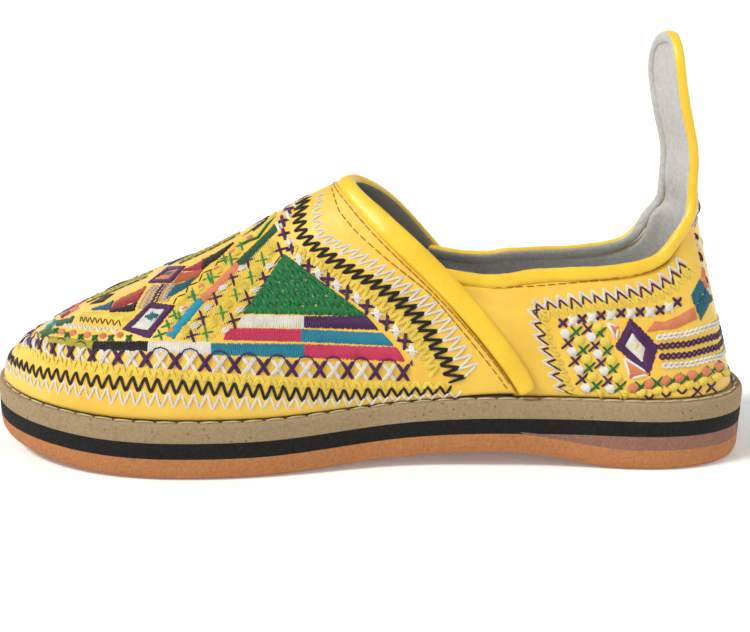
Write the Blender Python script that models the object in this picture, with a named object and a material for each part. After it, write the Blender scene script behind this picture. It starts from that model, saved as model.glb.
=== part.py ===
"""A child's embroidered leather babouche with a tall heel tab: the left shoe, empty and standing on its sole.

The sizes below are in millimetres, and MM turns them into Blender's metres.
+Z is up, the toe points to -Y, the heel to +Y, and the outer side of the foot faces +X.
The origin lies on the floor, under the middle of the shoe's box.
"""

import math

import bmesh
import bpy
import numpy as np

MM = 0.001

# Length and widths of the sole
SOLE_LENGTH = 190.0
BALL_HALF_WIDTH = 38.5
HEEL_HALF_WIDTH = 30.0

# Layers of the sole, from the floor up
OUTSOLE_THICKNESS = 5.2
HEEL_RISE = 3.4
BLACK_THICKNESS = 3.5
TAN_THICKNESS = 4.1
INSOLE_THICKNESS = 1.2
TOE_SPRING = 2.6
TOE_ROCKER = 1.5
GLUE_GAP = 0.3

# Upper
QUARTER_WALL = 1.7
VAMP_STEP = 1.2
LEDGE = 2.5
HEEL_LEDGE = 2.9
INSTEP_RISE = 50.0
COLLAR_RISE = 28.0
TAB_TOP = 100.8
TAB_HALF_WIDTH = 9.6
TAB_CORNER = 8.5

# Rolled leather edges
COLLAR_ROLL_HEIGHT = 3.2
COLLAR_ROLL_THICKNESS = 3.3
VAMP_ROLL_WIDTH = 6.6
VAMP_ROLL_NARROW = 4.6
VAMP_ROLL_THICKNESS = 3.0
COLLAR_ROLL_START = 12.0
ROLL_SIDES = 10
# Share of its first step by which the vamp's roll stops short of the sole
ROLL_END = 0.15

# Edges of the sole's layers: how far each ring stands in from the outline, and its height in the layer
OUTSOLE_RINGS = ((1.2, 0.0), (0.5, 0.3), (0.3, 1.0))
WEDGE_RINGS = ((0.3, 0.0), (0.3, 1.0))
BLACK_RINGS = ((0.3, 0.0), (0.2, 1.0))
TAN_RINGS = ((0.1, 0.0), (0.0, 0.85), (0.5, 1.0))
INSOLE_INSET = 5.9
INSOLE_RINGS = ((INSOLE_INSET, 0.0), (INSOLE_INSET, 1.0))

# Outline of the sole: place along the length, then shares of the ball's and of the heel's half width
OUTER_EDGE = (
    (0.030, 0.52, 0.00),
    (0.10, 0.83, 0.00),
    (0.18, 0.99, 0.00),
    (0.27, 1.03, 0.00),
    (0.39, 0.94, 0.00),
    (0.52, 0.42, 0.46),
    (0.63, 0.12, 0.82),
    (0.76, 0.00, 0.98),
    (0.88, 0.00, 0.99),
    (0.965, 0.00, 0.70),
)
INNER_EDGE = (
    (0.030, 0.46, 0.00),
    (0.10, 0.77, 0.00),
    (0.20, 0.97, 0.00),
    (0.31, 0.98, 0.00),
    (0.42, 0.88, 0.00),
    (0.52, 0.40, 0.48),
    (0.63, 0.05, 0.86),
    (0.76, 0.00, 0.94),
    (0.88, 0.00, 0.96),
    (0.965, 0.00, 0.68),
)
TOE_TIP_SHARE = 0.02

# Where the sole's middle starts and stops rising, where the heel's lift starts, where its wedge is thick enough
# to be a piece of its own and where it is full, and where the toe's spring ends, all along the length
RISE_START, RISE_END = 0.34, 0.66
WEDGE_START, WEDGE_FRONT, WEDGE_FULL = 0.66, 0.71, 0.82
SPRING_END = 0.24

# Ridge of the vamp: place along the length, height as a share of INSTEP_RISE, sideways shift as a share of the ball
RIDGE = (
    (0.13, 0.376, -0.02),
    (0.17, 0.454, -0.02),
    (0.22, 0.542, -0.01),
    (0.27, 0.628, 0.00),
    (0.31, 0.708, 0.00),
    (0.35, 0.792, 0.00),
    (0.40, 0.897, 0.00),
    (0.45, 0.985, 0.00),
)
# Ribs of the vamp, from the toe's middle to the throat: share of the vamp's edge on the sole, place of the
# ridge end, how far the rib swings back as it drops, and the exponents of its section across and up
RIBS = (
    (0.00, 0.130, 0.00, 0.65, 0.65),
    (0.20, 0.138, 0.10, 0.69, 0.69),
    (0.40, 0.180, 0.40, 0.78, 0.80),
    (0.60, 0.262, 0.80, 0.88, 0.95),
    (0.80, 0.362, 1.00, 0.97, 1.12),
    (1.00, 0.448, 1.00, 1.00, 1.25),
)
VAMP_FOOT = 0.670
# How straight the swing of a rib is, as an exponent
SWING = 1.1

# Top edge of the quarter's wall, from the throat to the heel: share of the quarter's edge on the sole,
# place along the length, half width as a share of the heel's, and height as a share of COLLAR_RISE
TOPLINE = (
    (0.12, 0.625, 0.630, 0.91),
    (0.32, 0.690, 0.585, 0.935),
    (0.50, 0.758, 0.570, 0.965),
    (0.62, 0.815, 0.565, 1.00),
    (0.68, 0.851, 0.545, 1.06),
    (0.72, 0.874, 0.510, 1.16),
    (0.76, 0.887, 0.460, 1.32),
    (0.88, 0.911, 0.330, 1.38),
    (1.00, 0.928, 0.000, 1.40),
)
TAB_START = 0.75
# How far the quarter stands up before it leans in, as an exponent
QUARTER_LEAN = 1.08

# Heel tab above the collar: height as a share of TAB_TOP, half width as a share of TAB_HALF_WIDTH,
# distance of its middle from the heel's tip as a share of the length, and depth of its hollow over its half width
TAB = (
    (0.59, 1.22, 0.076, 0.31),
    (0.65, 1.04, 0.085, 0.19),
    (0.74, 1.00, 0.091, 0.13),
    (0.83, 1.00, 0.105, 0.12),
    (0.91, 1.00, 0.116, 0.11),
    (1.00, 1.00, 0.126, 0.09),
)

# Fineness of the meshes
OUTLINE_STEPS = 720
SOLE_SPANS = 80
VAMP_SPANS, VAMP_ROWS, SEAM_ROWS = 22, 13, 6
QUARTER_SPANS, TAB_LEVELS, TAB_TOP_LEVELS = 24, 9, 5

COLOURS = {
    "outsole": ((0.62, 0.27, 0.16), 0.85),
    "heel_wedge": ((0.47, 0.26, 0.25), 0.85),
    "midsole_black": ((0.02, 0.02, 0.022), 0.7),
    "midsole_tan": ((0.42, 0.32, 0.22), 0.85),
    "insole": ((0.50, 0.48, 0.45), 0.9),
    "upper": ((0.93, 0.62, 0.06), 0.45),
    "vamp_binding": ((0.93, 0.60, 0.03), 0.4),
    "collar_binding": ((0.93, 0.60, 0.03), 0.4),
}


def curve(table):
    """A smooth function through the rows of a table, whose first column is the place."""
    rows = np.array(table, float)
    at, values = rows[:, 0], rows[:, 1:]
    step = np.diff(at)
    slope = np.diff(values, axis=0) / step[:, None]
    system = np.diag(2 * (step[:-1] + step[1:])) + np.diag(step[1:-1], 1) + np.diag(step[1:-1], -1)
    bend = np.zeros_like(values)
    bend[1:-1] = np.linalg.solve(system, 6 * np.diff(slope, axis=0))

    def value(place):
        i = int(np.clip(np.searchsorted(at, place) - 1, 0, len(step) - 1))
        left, right, h = place - at[i], at[i + 1] - place, step[i]
        bent = (bend[i] * right**3 + bend[i + 1] * left**3) / (6 * h)
        straight = (values[i] / h - bend[i] * h / 6) * right + (values[i + 1] / h - bend[i + 1] * h / 6) * left
        return bent + straight

    return value


def smooth_step(value):
    t = min(1.0, max(0.0, value))
    return t * t * (3 - 2 * t)


def closed_curve(points, steps):
    """A smooth closed curve through the points, as that many steps of equal length."""
    points = np.array(points)
    wrapped = np.vstack([points[-3:], points, points[:4]])
    at = np.concatenate([[0], np.cumsum(np.linalg.norm(np.diff(wrapped, axis=0), axis=1))])
    through = curve(np.column_stack([at, wrapped]))
    fine = np.array([through(place) for place in np.linspace(at[3], at[-4], 4 * steps + 1)])
    length = np.concatenate([[0], np.cumsum(np.linalg.norm(np.diff(fine, axis=0), axis=1))])
    even = np.linspace(0, length[-1], steps + 1)[:-1]
    return np.column_stack([np.interp(even, length, fine[:, axis]) for axis in (0, 1)])


class Outline:
    """The sole seen from above, from the toe's tip round the outer side to the heel and back."""

    def __init__(self):
        outer = [(ball * BALL_HALF_WIDTH + heel * HEEL_HALF_WIDTH, at) for at, ball, heel in OUTER_EDGE]
        inner = [(-ball * BALL_HALF_WIDTH - heel * HEEL_HALF_WIDTH, at) for at, ball, heel in INNER_EDGE]
        tip = (TOE_TIP_SHARE * BALL_HALF_WIDTH, 0.0)
        shape = [tip, *outer, (0.0, 1.0), *reversed(inner)]
        loop = closed_curve([(x, at * SOLE_LENGTH) for x, at in shape], OUTLINE_STEPS)
        low, high = loop.min(axis=0), loop.max(axis=0)
        loop[:, 0] -= (low[0] + high[0]) / 2
        loop[:, 1] = ((loop[:, 1] - low[1]) / (high[1] - low[1]) - 0.5) * SOLE_LENGTH
        loop = np.roll(loop, -int(loop[:, 1].argmin()), axis=0)
        ahead, behind = np.roll(loop, -1, axis=0), np.roll(loop, 1, axis=0)
        along = (ahead - behind) / np.linalg.norm(ahead - behind, axis=1)[:, None]
        self.points = np.vstack([loop, loop[:1]])
        self.outward = np.column_stack([along[:, 1], -along[:, 0]])
        self.outward = np.vstack([self.outward, self.outward[:1]])
        self.heel = int(loop[:, 1].argmax())

    def at(self, side, share, inset):
        """The point at a share of the way from toe to heel on one side (1 outer, -1 inner), moved in by inset."""
        ends = (0, self.heel) if side > 0 else (OUTLINE_STEPS, self.heel)
        place = ends[0] + (ends[1] - ends[0]) * share
        steps = np.arange(OUTLINE_STEPS + 1)
        x, y, out_x, out_y = (
            np.interp(place, steps, column) for column in (*self.points.T, *self.outward.T)
        )
        return x - out_x * inset, y - out_y * inset

    def share_at(self, side, place):
        """The share of one side's edge where it passes a place along the length."""
        shares = np.linspace(0, 1, 400)
        lengths = [self.at(side, share, 0)[1] for share in shares]
        return float(np.interp((place - 0.5) * SOLE_LENGTH, lengths, shares))


OUTLINE = Outline()


def place_of(y):
    return y / SOLE_LENGTH + 0.5


def toe_share(y):
    """How much of the toe's rise has come at a length: none behind the ball, all of it at the tip."""
    return max(0.0, 1 - place_of(y) / SPRING_END) ** 2


def spring(y):
    """How far the sole curls up off the floor at the toe."""
    return TOE_SPRING * toe_share(y)


def lift_of_wedge(y):
    return HEEL_RISE * smooth_step((place_of(y) - WEDGE_START) / (WEDGE_FULL - WEDGE_START))


def black_bottom(y):
    """The line that the heel lifts: it climbs under the waist and stays up."""
    rise = HEEL_RISE * smooth_step((place_of(y) - RISE_START) / (RISE_END - RISE_START))
    return OUTSOLE_THICKNESS + GLUE_GAP + rise + spring(y)


def wedge_top(y):
    return black_bottom(y) - GLUE_GAP


def outsole_top(y):
    return wedge_top(y) - lift_of_wedge(y)


def wedge_bottom(y):
    return outsole_top(y) + GLUE_GAP


def outsole_bottom(y):
    return outsole_top(y) - OUTSOLE_THICKNESS + TOE_ROCKER * toe_share(y)


def black_top(y):
    return black_bottom(y) + BLACK_THICKNESS


def tan_bottom(y):
    return black_top(y) + GLUE_GAP


def tan_top(y):
    return tan_bottom(y) + TAN_THICKNESS


def feather(y):
    """Height where the upper starts."""
    return tan_top(y) + GLUE_GAP


def insole_top(y):
    return feather(y) + INSOLE_THICKNESS


def ledge(y):
    """How far the sole stands out beyond the upper."""
    return LEDGE + (HEEL_LEDGE - LEDGE) * smooth_step((place_of(y) - 0.72) / 0.2)


def foot(side, share):
    """Point of the upper's lower edge, at a share of the way from toe to heel."""
    y_edge = OUTLINE.at(side, share, 0)[1]
    x, y = OUTLINE.at(side, share, ledge(y_edge))
    return np.array([x, y, feather(y)])


RIDGE_LINE = curve(RIDGE)
RIB_SHAPE = curve(RIBS)
TAB_SHAPE = curve(TAB)
VAMP_EDGE = {side: OUTLINE.share_at(side, VAMP_FOOT) for side in (1, -1)}


def ridge_point(place):
    height, shift = RIDGE_LINE(place)
    y = (place - 0.5) * SOLE_LENGTH
    return np.array([shift * BALL_HALF_WIDTH, y, feather(y) + height * INSTEP_RISE])


def vamp_point(side, u, v):
    """Vamp before its step: u runs from the toe's middle to the throat, v from the sole to the ridge."""
    place, swing, across_power, up_power = RIB_SHAPE(u)
    base = foot(side, u * VAMP_EDGE[side])
    top = ridge_point(place)
    slope = (ridge_point(place + 0.004) - ridge_point(place - 0.004)) / (0.008 * SOLE_LENGTH)
    turn = (1 - v) * math.pi / 2
    across, up = math.sin(turn) ** across_power, max(0.0, math.cos(turn)) ** up_power
    back = base[1] - top[1]
    x = top[0] + (base[0] - top[0]) * across
    y = top[1] + back * ((1 - swing) * across + swing * (1 - up**SWING))
    crown = top[2] + slope[2] * (1 - swing) * back * across
    return np.array([x, y, base[2] + (crown - base[2]) * up])


def throat_rib(side):
    return np.array([vamp_point(side, 1.0, j / VAMP_ROWS) for j in range(VAMP_ROWS + 1)])


class Quarter:
    """One side of the quarter and of the heel tab above it, as columns that rise from the sole."""

    def __init__(self, side):
        self.side = side
        self.seam = throat_rib(side)[: SEAM_ROWS + 1]
        start = self.seam[-1]
        rows = [(0.0, *start)]
        for share, place, half, height in TOPLINE:
            y = (place - 0.5) * SOLE_LENGTH
            rows.append((share, side * half * HEEL_HALF_WIDTH, y, feather(y) + height * COLLAR_RISE))
        mirrored = [(2 - share, -x, y, z) for share, x, y, z in rows[-2:-5:-1]]
        self.top_line = curve(rows + mirrored)
        rises = (self.seam - self.seam[0]) / (start - self.seam[0])
        self.rise, self.rib_lean = rises[:, 2], rises[:, :2]

    def column(self, w):
        """The points of one column up to the collar, w running from the seam to the heel's middle."""
        if w == 0:
            return self.seam
        first = VAMP_EDGE[self.side]
        base = foot(self.side, first + (1 - first) * w)
        top = self.top_line(w)
        blend = smooth_step(w / 0.35)
        lean = self.rib_lean * (1 - blend) + (self.rise**QUARTER_LEAN)[:, None] * blend
        flat = base[:2] + (top[:2] - base[:2]) * lean
        return np.column_stack([flat, base[2] + (top[2] - base[2]) * self.rise])

    def tab_path(self, w):
        """The column's place across and along the shoe by height, from the sole to the tab's top."""
        below = self.column(w)
        across = self.side * (1 - w) / (1 - TAB_START)
        keys = [(z, x, y) for x, y, z in below[:: SEAM_ROWS // 3]]
        for height, half, back, hollow in TAB:
            width = half * TAB_HALF_WIDTH
            y = (0.5 - back) * SOLE_LENGTH - hollow * width * across**2
            keys.append((height * TAB_TOP, width * across, y))
        return curve(keys)

    def tab_column(self, w):
        """The column's points above the collar, up to the tab's round top."""
        path, middle = self.tab_path(w), self.tab_path(1.0)
        bottom, corner = self.column(w)[-1][2], TAB_TOP - TAB_CORNER
        heights = [bottom + (corner - bottom) * k / TAB_LEVELS for k in range(1, TAB_LEVELS + 1)]
        narrow = [1.0] * TAB_LEVELS
        for k in range(1, TAB_TOP_LEVELS + 1):
            turn = math.radians(78) * k / TAB_TOP_LEVELS
            heights.append(corner + TAB_CORNER * math.sin(turn))
            narrow.append(math.cos(turn) ** 0.75)
        points = []
        for z, width in zip(heights, narrow):
            x, y = path(z)
            back = middle(z)[1]
            points.append(np.array([x * width, back + (y - back) * width**2, z]))
        return np.array(points)


class Skin:
    """A surface welded from grids of points, each on the vamp's or the quarter's layer."""

    def __init__(self):
        self.points, self.index, self.faces = [], {}, []

    def vertex(self, point):
        key = tuple(round(float(c), 3) for c in point)
        if key not in self.index:
            self.index[key] = len(self.points)
            self.points.append(np.array(point, float))
        return self.index[key]

    def grid(self, rows, layer, flip):
        ids = [[self.vertex(p) for p in row] for row in rows]
        for left, right in zip(ids, ids[1:]):
            for j in range(len(left) - 1):
                face = [left[j], right[j], right[j + 1], left[j + 1]]
                face = [v for k, v in enumerate(face) if v != face[k - 1]]
                if len(face) > 2:
                    self.faces.append((face[::-1] if flip else face, layer))

    def normals(self):
        """Outward direction at each point."""
        points = np.array(self.points)
        total = np.zeros_like(points)
        for face, _ in self.faces:
            corners = points[face]
            normal = sum(np.cross(corners[k - 1], corners[k]) for k in range(len(face)))
            total[face] += normal
        on_sole = [z < feather(y) + 0.01 for _, y, z in points]
        total[on_sole, 2] = 0
        return total / np.linalg.norm(total, axis=1)[:, None]


def upper_skin():
    skin = Skin()
    for side in (1, -1):
        ribs = [
            [vamp_point(side, i / VAMP_SPANS, j / VAMP_ROWS) for j in range(VAMP_ROWS + 1)]
            for i in range(VAMP_SPANS + 1)
        ]
        skin.grid(ribs, "vamp", side < 0)
        quarter = Quarter(side)
        shares = [i / QUARTER_SPANS for i in range(QUARTER_SPANS + 1)]
        skin.grid([quarter.column(w) for w in shares], "quarter", side < 0)
        tab = [np.vstack([quarter.column(w)[-1:], quarter.tab_column(w)]) for w in shares if w >= TAB_START]
        skin.grid(tab, "quarter", side < 0)
    return skin


def new_object(name, vertices, faces):
    """A solid from points in millimetres, with its faces turned outwards and its own material."""
    mesh = bpy.data.meshes.new(name)
    mesh.from_pydata([tuple(float(c) * MM for c in p) for p in vertices], [], faces)
    solid = bmesh.new()
    solid.from_mesh(mesh)
    bmesh.ops.recalc_face_normals(solid, faces=solid.faces)
    bmesh.ops.triangulate(solid, faces=solid.faces)
    solid.to_mesh(mesh)
    solid.free()
    mesh.shade_smooth()
    mesh.set_sharp_from_angle(angle=math.radians(40))
    material = bpy.data.materials.new(name)
    material.use_nodes = True
    shader = material.node_tree.nodes["Principled BSDF"]
    colour, roughness = COLOURS[name]
    shader.inputs["Base Color"].default_value = (*colour, 1)
    shader.inputs["Roughness"].default_value = roughness
    mesh.materials.append(material)
    made = bpy.data.objects.new(name, mesh)
    bpy.context.scene.collection.objects.link(made)
    return made


def sole_layer(name, bottom, top, rings, start=0.0):
    """A slab under the foot between two heights, from rings of (inset, share of height), behind a starting place."""
    half = SOLE_SPANS // 2
    first = {side: OUTLINE.share_at(side, start) if start else 0.0 for side in (1, -1)}
    stops = [(1, first[1] + (1 - first[1]) * i / half) for i in range(half + 1)]
    last = 0 if start else 1
    stops += [(-1, first[-1] + (1 - first[-1]) * i / half) for i in range(half - 1, last - 1, -1)]
    count = len(stops)
    vertices, faces = [], []
    for inset, share_up in rings:
        for side, share in stops:
            x, y = OUTLINE.at(side, share, inset)
            vertices.append((x, y, bottom(y) + (top(y) - bottom(y)) * share_up))
    for r in range(len(rings) - 1):
        for k in range(count):
            near, far = r * count + k, r * count + (k + 1) % count
            faces.append((near, far, far + count, near + count))
    for base in (0, (len(rings) - 1) * count):
        for i in range(half):
            pairs = (i, i + 1, (count - 1 + last - i - 1) % count, (count - 1 + last - i) % count)
            face = list(dict.fromkeys(base + k for k in pairs))
            faces.append(face)
    return new_object(name, vertices, faces)


def hollow_upper(skin):
    """The upper's solid: the skin's outside, raised on the vamp, its inside, and the edges between them."""
    points, normals = np.array(skin.points), skin.normals()
    raised = {"vamp": VAMP_STEP, "quarter": 0.0}
    vertices = [p - n * QUARTER_WALL for p, n in zip(points, normals)]
    outer = {}
    for face, layer in skin.faces:
        for v in face:
            if (v, layer) not in outer:
                outer[v, layer] = len(vertices)
                vertices.append(points[v] + normals[v] * raised[layer])
    edges = {}
    faces = []
    for face, layer in skin.faces:
        faces.append([outer[v, layer] for v in face])
        faces.append(face[::-1])
        for a, b in zip(face, face[1:] + face[:1]):
            edges.setdefault((min(a, b), max(a, b)), []).append((a, b, layer))
    seam_ends = {}
    for sides in edges.values():
        a, b, layer = sides[0]
        if len(sides) == 1:
            faces.append([outer[a, layer], a, b, outer[b, layer]])
        elif sides[1][2] != layer:
            other = sides[1][2]
            faces.append([outer[b, layer], outer[a, layer], outer[a, other], outer[b, other]])
            for v in (a, b):
                seam_ends[v] = seam_ends.get(v, 0) + 1
    for v, count in seam_ends.items():
        if count == 1:
            faces.append([v, outer[v, "vamp"], outer[v, "quarter"]])
    return new_object("upper", vertices, faces)


def roll(name, centres, outs, ups, widths, thickness):
    """A rolled edge: an oval bar along the centres, wide outwards from the edge and thin across the leather."""
    vertices, faces = [], []
    for centre, along, normal, width in zip(centres, outs, ups, widths):
        for k in range(ROLL_SIDES):
            turn = 2 * math.pi * (k + 0.5) / ROLL_SIDES
            vertices.append(
                centre + along * math.cos(turn) * width / 2 + normal * math.sin(turn) * thickness / 2
            )
    for s in range(len(centres) - 1):
        for k in range(ROLL_SIDES):
            near, far = s * ROLL_SIDES + k, s * ROLL_SIDES + (k + 1) % ROLL_SIDES
            faces.append((near, far, far + ROLL_SIDES, near + ROLL_SIDES))
    last = (len(centres) - 1) * ROLL_SIDES
    faces.append(list(range(ROLL_SIDES)))
    faces.append([last + k for k in range(ROLL_SIDES)])
    return new_object(name, vertices, faces)


def edge_frames(skin, normals, path):
    """For the skin's points along an edge: the points, their normals and the way out past the edge."""
    points, known = np.array(path), np.array(skin.points)
    nearest = [int(np.argmin(np.linalg.norm(known - p, axis=1))) for p in points]
    ups = normals[nearest]
    along = np.gradient(points, axis=0)
    along /= np.linalg.norm(along, axis=1)[:, None]
    outs = np.cross(ups, along)
    outs /= np.linalg.norm(outs, axis=1)[:, None]
    return points, ups, outs


def collar_roll(skin, normals):
    """Along the topline from one seam up round the tab and back to the other seam."""
    path = []
    for side in (1, -1):
        quarter = Quarter(side)
        shares = [i / QUARTER_SPANS for i in range(QUARTER_SPANS + 1)]
        line = [quarter.column(w)[-1] for w in shares if w <= TAB_START]
        line = [p for p in line if p[1] > line[0][1] + COLLAR_ROLL_START]
        line += list(quarter.tab_column(TAB_START))
        if side > 0:
            path = line + [quarter.tab_column(1.0)[-1]]
        else:
            path += line[::-1]
    points, ups, outs = edge_frames(skin, normals, path)
    centres = points - ups * QUARTER_WALL / 2 + outs * (GLUE_GAP + COLLAR_ROLL_HEIGHT / 2)
    widths = [COLLAR_ROLL_HEIGHT] * len(centres)
    return roll("collar_binding", centres, outs, ups, widths, COLLAR_ROLL_THICKNESS)


def vamp_roll(skin, normals):
    """Up the inner seam from the sole, over the throat and down the outer seam."""
    path = list(throat_rib(-1)) + list(throat_rib(1)[-2::-1])
    points, ups, outs = edge_frames(skin, normals, path)
    over_quarter = GLUE_GAP + VAMP_ROLL_THICKNESS / 2
    past_vamp = (VAMP_STEP - QUARTER_WALL) / 2
    centres, widths = [], []
    for s, (point, up, out) in enumerate(zip(points, ups, outs)):
        row = min(s, len(points) - 1 - s)
        free = smooth_step((row - SEAM_ROWS - 1) / 3)
        lift = over_quarter * (1 - free) + past_vamp * free
        width = VAMP_ROLL_NARROW + (VAMP_ROLL_WIDTH - VAMP_ROLL_NARROW) * smooth_step(row / SEAM_ROWS)
        widths.append(width)
        centres.append(point + up * lift + out * (GLUE_GAP + width / 2))
    centres[0] += (centres[1] - centres[0]) * ROLL_END
    centres[-1] += (centres[-2] - centres[-1]) * ROLL_END
    return roll("vamp_binding", centres, outs, ups, widths, VAMP_ROLL_THICKNESS)


def build():
    for old in list(bpy.data.objects):
        bpy.data.objects.remove(old)
    sole_layer("outsole", outsole_bottom, outsole_top, OUTSOLE_RINGS)
    sole_layer("heel_wedge", wedge_bottom, wedge_top, WEDGE_RINGS, WEDGE_FRONT)
    sole_layer("midsole_black", black_bottom, black_top, BLACK_RINGS)
    sole_layer("midsole_tan", tan_bottom, tan_top, TAN_RINGS)
    sole_layer("insole", feather, insole_top, INSOLE_RINGS)
    skin = upper_skin()
    normals = skin.normals()
    hollow_upper(skin)
    collar_roll(skin, normals)
    vamp_roll(skin, normals)


build()
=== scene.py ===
"""Looks of a child's embroidered leather babouche, the left shoe.

Sizes are in millimetres and MM turns them into metres. The toe points to -Y and the outer side faces +X.
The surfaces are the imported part's own, made finer, and the embroidery is laid on them as threads.
"""

import math
import random

import bpy
import numpy as np
from mathutils import Matrix, Vector
from mathutils.bvhtree import BVHTree


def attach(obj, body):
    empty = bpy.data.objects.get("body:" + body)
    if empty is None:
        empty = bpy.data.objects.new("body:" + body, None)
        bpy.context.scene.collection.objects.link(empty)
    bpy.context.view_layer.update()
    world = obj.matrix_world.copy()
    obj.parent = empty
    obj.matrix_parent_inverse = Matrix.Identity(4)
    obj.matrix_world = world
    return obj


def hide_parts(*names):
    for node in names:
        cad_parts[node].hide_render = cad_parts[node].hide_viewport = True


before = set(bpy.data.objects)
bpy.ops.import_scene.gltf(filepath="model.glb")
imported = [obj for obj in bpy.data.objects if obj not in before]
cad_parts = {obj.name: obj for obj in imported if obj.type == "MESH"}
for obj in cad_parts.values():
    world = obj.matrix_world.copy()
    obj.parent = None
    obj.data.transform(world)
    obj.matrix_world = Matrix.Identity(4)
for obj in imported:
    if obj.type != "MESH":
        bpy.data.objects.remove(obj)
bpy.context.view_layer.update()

random.seed(7)

MM = 0.001
BODY = "root"

# Length and widths of the sole
SOLE_LENGTH = 190.0
BALL_HALF_WIDTH = 38.5
HEEL_HALF_WIDTH = 30.0

# Layers of the sole, from the floor up
OUTSOLE_THICKNESS = 5.2
HEEL_RISE = 3.4
BLACK_THICKNESS = 3.5
TAN_THICKNESS = 4.1
INSOLE_THICKNESS = 1.2
TOE_SPRING = 2.6
TOE_ROCKER = 1.5
GLUE_GAP = 0.3

# Upper
QUARTER_WALL = 1.7
VAMP_STEP = 1.2
LEDGE = 2.5
HEEL_LEDGE = 2.9
INSTEP_RISE = 50.0
COLLAR_RISE = 28.0
TAB_TOP = 100.8
TAB_HALF_WIDTH = 9.6
TAB_CORNER = 8.5

# Rolled leather edges
COLLAR_ROLL_HEIGHT = 3.2
VAMP_ROLL_THICKNESS = 3.0
COLLAR_ROLL_START = 12.0

# Outline of the sole: place along the length, then shares of the ball's and of the heel's half width
OUTER_EDGE = (
    (0.030, 0.52, 0.00),
    (0.10, 0.83, 0.00),
    (0.18, 0.99, 0.00),
    (0.27, 1.03, 0.00),
    (0.39, 0.94, 0.00),
    (0.52, 0.42, 0.46),
    (0.63, 0.12, 0.82),
    (0.76, 0.00, 0.98),
    (0.88, 0.00, 0.99),
    (0.965, 0.00, 0.70),
)
INNER_EDGE = (
    (0.030, 0.46, 0.00),
    (0.10, 0.77, 0.00),
    (0.20, 0.97, 0.00),
    (0.31, 0.98, 0.00),
    (0.42, 0.88, 0.00),
    (0.52, 0.40, 0.48),
    (0.63, 0.05, 0.86),
    (0.76, 0.00, 0.94),
    (0.88, 0.00, 0.96),
    (0.965, 0.00, 0.68),
)
TOE_TIP_SHARE = 0.02

# Where the sole's middle starts and stops rising, where the heel's wedge starts and where it is full, and where
# the toe's spring ends, all along the length
RISE_START, RISE_END = 0.34, 0.66
WEDGE_START, WEDGE_FULL = 0.66, 0.82
SPRING_END = 0.24

# Ridge of the vamp: place along the length, height as a share of INSTEP_RISE, sideways shift as a share of the ball
RIDGE = (
    (0.13, 0.376, -0.02),
    (0.17, 0.454, -0.02),
    (0.22, 0.542, -0.01),
    (0.27, 0.628, 0.00),
    (0.31, 0.708, 0.00),
    (0.35, 0.792, 0.00),
    (0.40, 0.897, 0.00),
    (0.45, 0.985, 0.00),
)
# Ribs of the vamp, from the toe's middle to the throat: share of the vamp's edge on the sole, place of the
# ridge end, how far the rib swings back as it drops, and the exponents of its section across and up
RIBS = (
    (0.00, 0.130, 0.00, 0.65, 0.65),
    (0.20, 0.138, 0.10, 0.69, 0.69),
    (0.40, 0.180, 0.40, 0.78, 0.80),
    (0.60, 0.262, 0.80, 0.88, 0.95),
    (0.80, 0.362, 1.00, 0.97, 1.12),
    (1.00, 0.448, 1.00, 1.00, 1.25),
)
VAMP_FOOT = 0.670
# How straight the swing of a rib is, as an exponent
SWING = 1.1
# Step along the length over which the ridge's slope is read
SLOPE_STEP = 0.004

# Top edge of the quarter's wall, from the throat to the heel: share of the quarter's edge on the sole,
# place along the length, half width as a share of the heel's, and height as a share of COLLAR_RISE
TOPLINE = (
    (0.12, 0.625, 0.630, 0.91),
    (0.32, 0.690, 0.585, 0.935),
    (0.50, 0.758, 0.570, 0.965),
    (0.62, 0.815, 0.565, 1.00),
    (0.68, 0.851, 0.545, 1.06),
    (0.72, 0.874, 0.510, 1.16),
    (0.76, 0.887, 0.460, 1.32),
    (0.88, 0.911, 0.330, 1.38),
    (1.00, 0.928, 0.000, 1.40),
)
TAB_START = 0.75
# How far the quarter stands up before it leans in, as an exponent, and over which share it leaves the seam's lean
QUARTER_LEAN, LEAN_BLEND = 1.08, 0.35

# Heel tab above the collar: height as a share of TAB_TOP, half width as a share of TAB_HALF_WIDTH,
# distance of its middle from the heel's tip as a share of the length, and depth of its hollow over its half width
TAB = (
    (0.59, 1.22, 0.076, 0.31),
    (0.65, 1.04, 0.085, 0.19),
    (0.74, 1.00, 0.091, 0.13),
    (0.83, 1.00, 0.105, 0.12),
    (0.91, 1.00, 0.116, 0.11),
    (1.00, 1.00, 0.126, 0.09),
)
# The tab's round top: how far it turns in, in degrees, and the exponent by which it narrows
TAB_TOP_TURN, TAB_TOP_NARROWS = 78, 0.75

# Fineness of the meshes
OUTLINE_STEPS = 720
VAMP_SPANS, VAMP_ROWS, SEAM_ROWS = 66, 39, 18
QUARTER_SPANS, TAB_LEVELS, TAB_TOP_LEVELS = 72, 27, 14
LAYER_SPANS = 130
VAMP_SHARES = [i / VAMP_SPANS for i in range(VAMP_SPANS + 1)]
QUARTER_SHARES = [i / QUARTER_SPANS for i in range(QUARTER_SPANS + 1)]
TAB_SHARES = [w for w in QUARTER_SHARES if w >= TAB_START]


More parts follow.
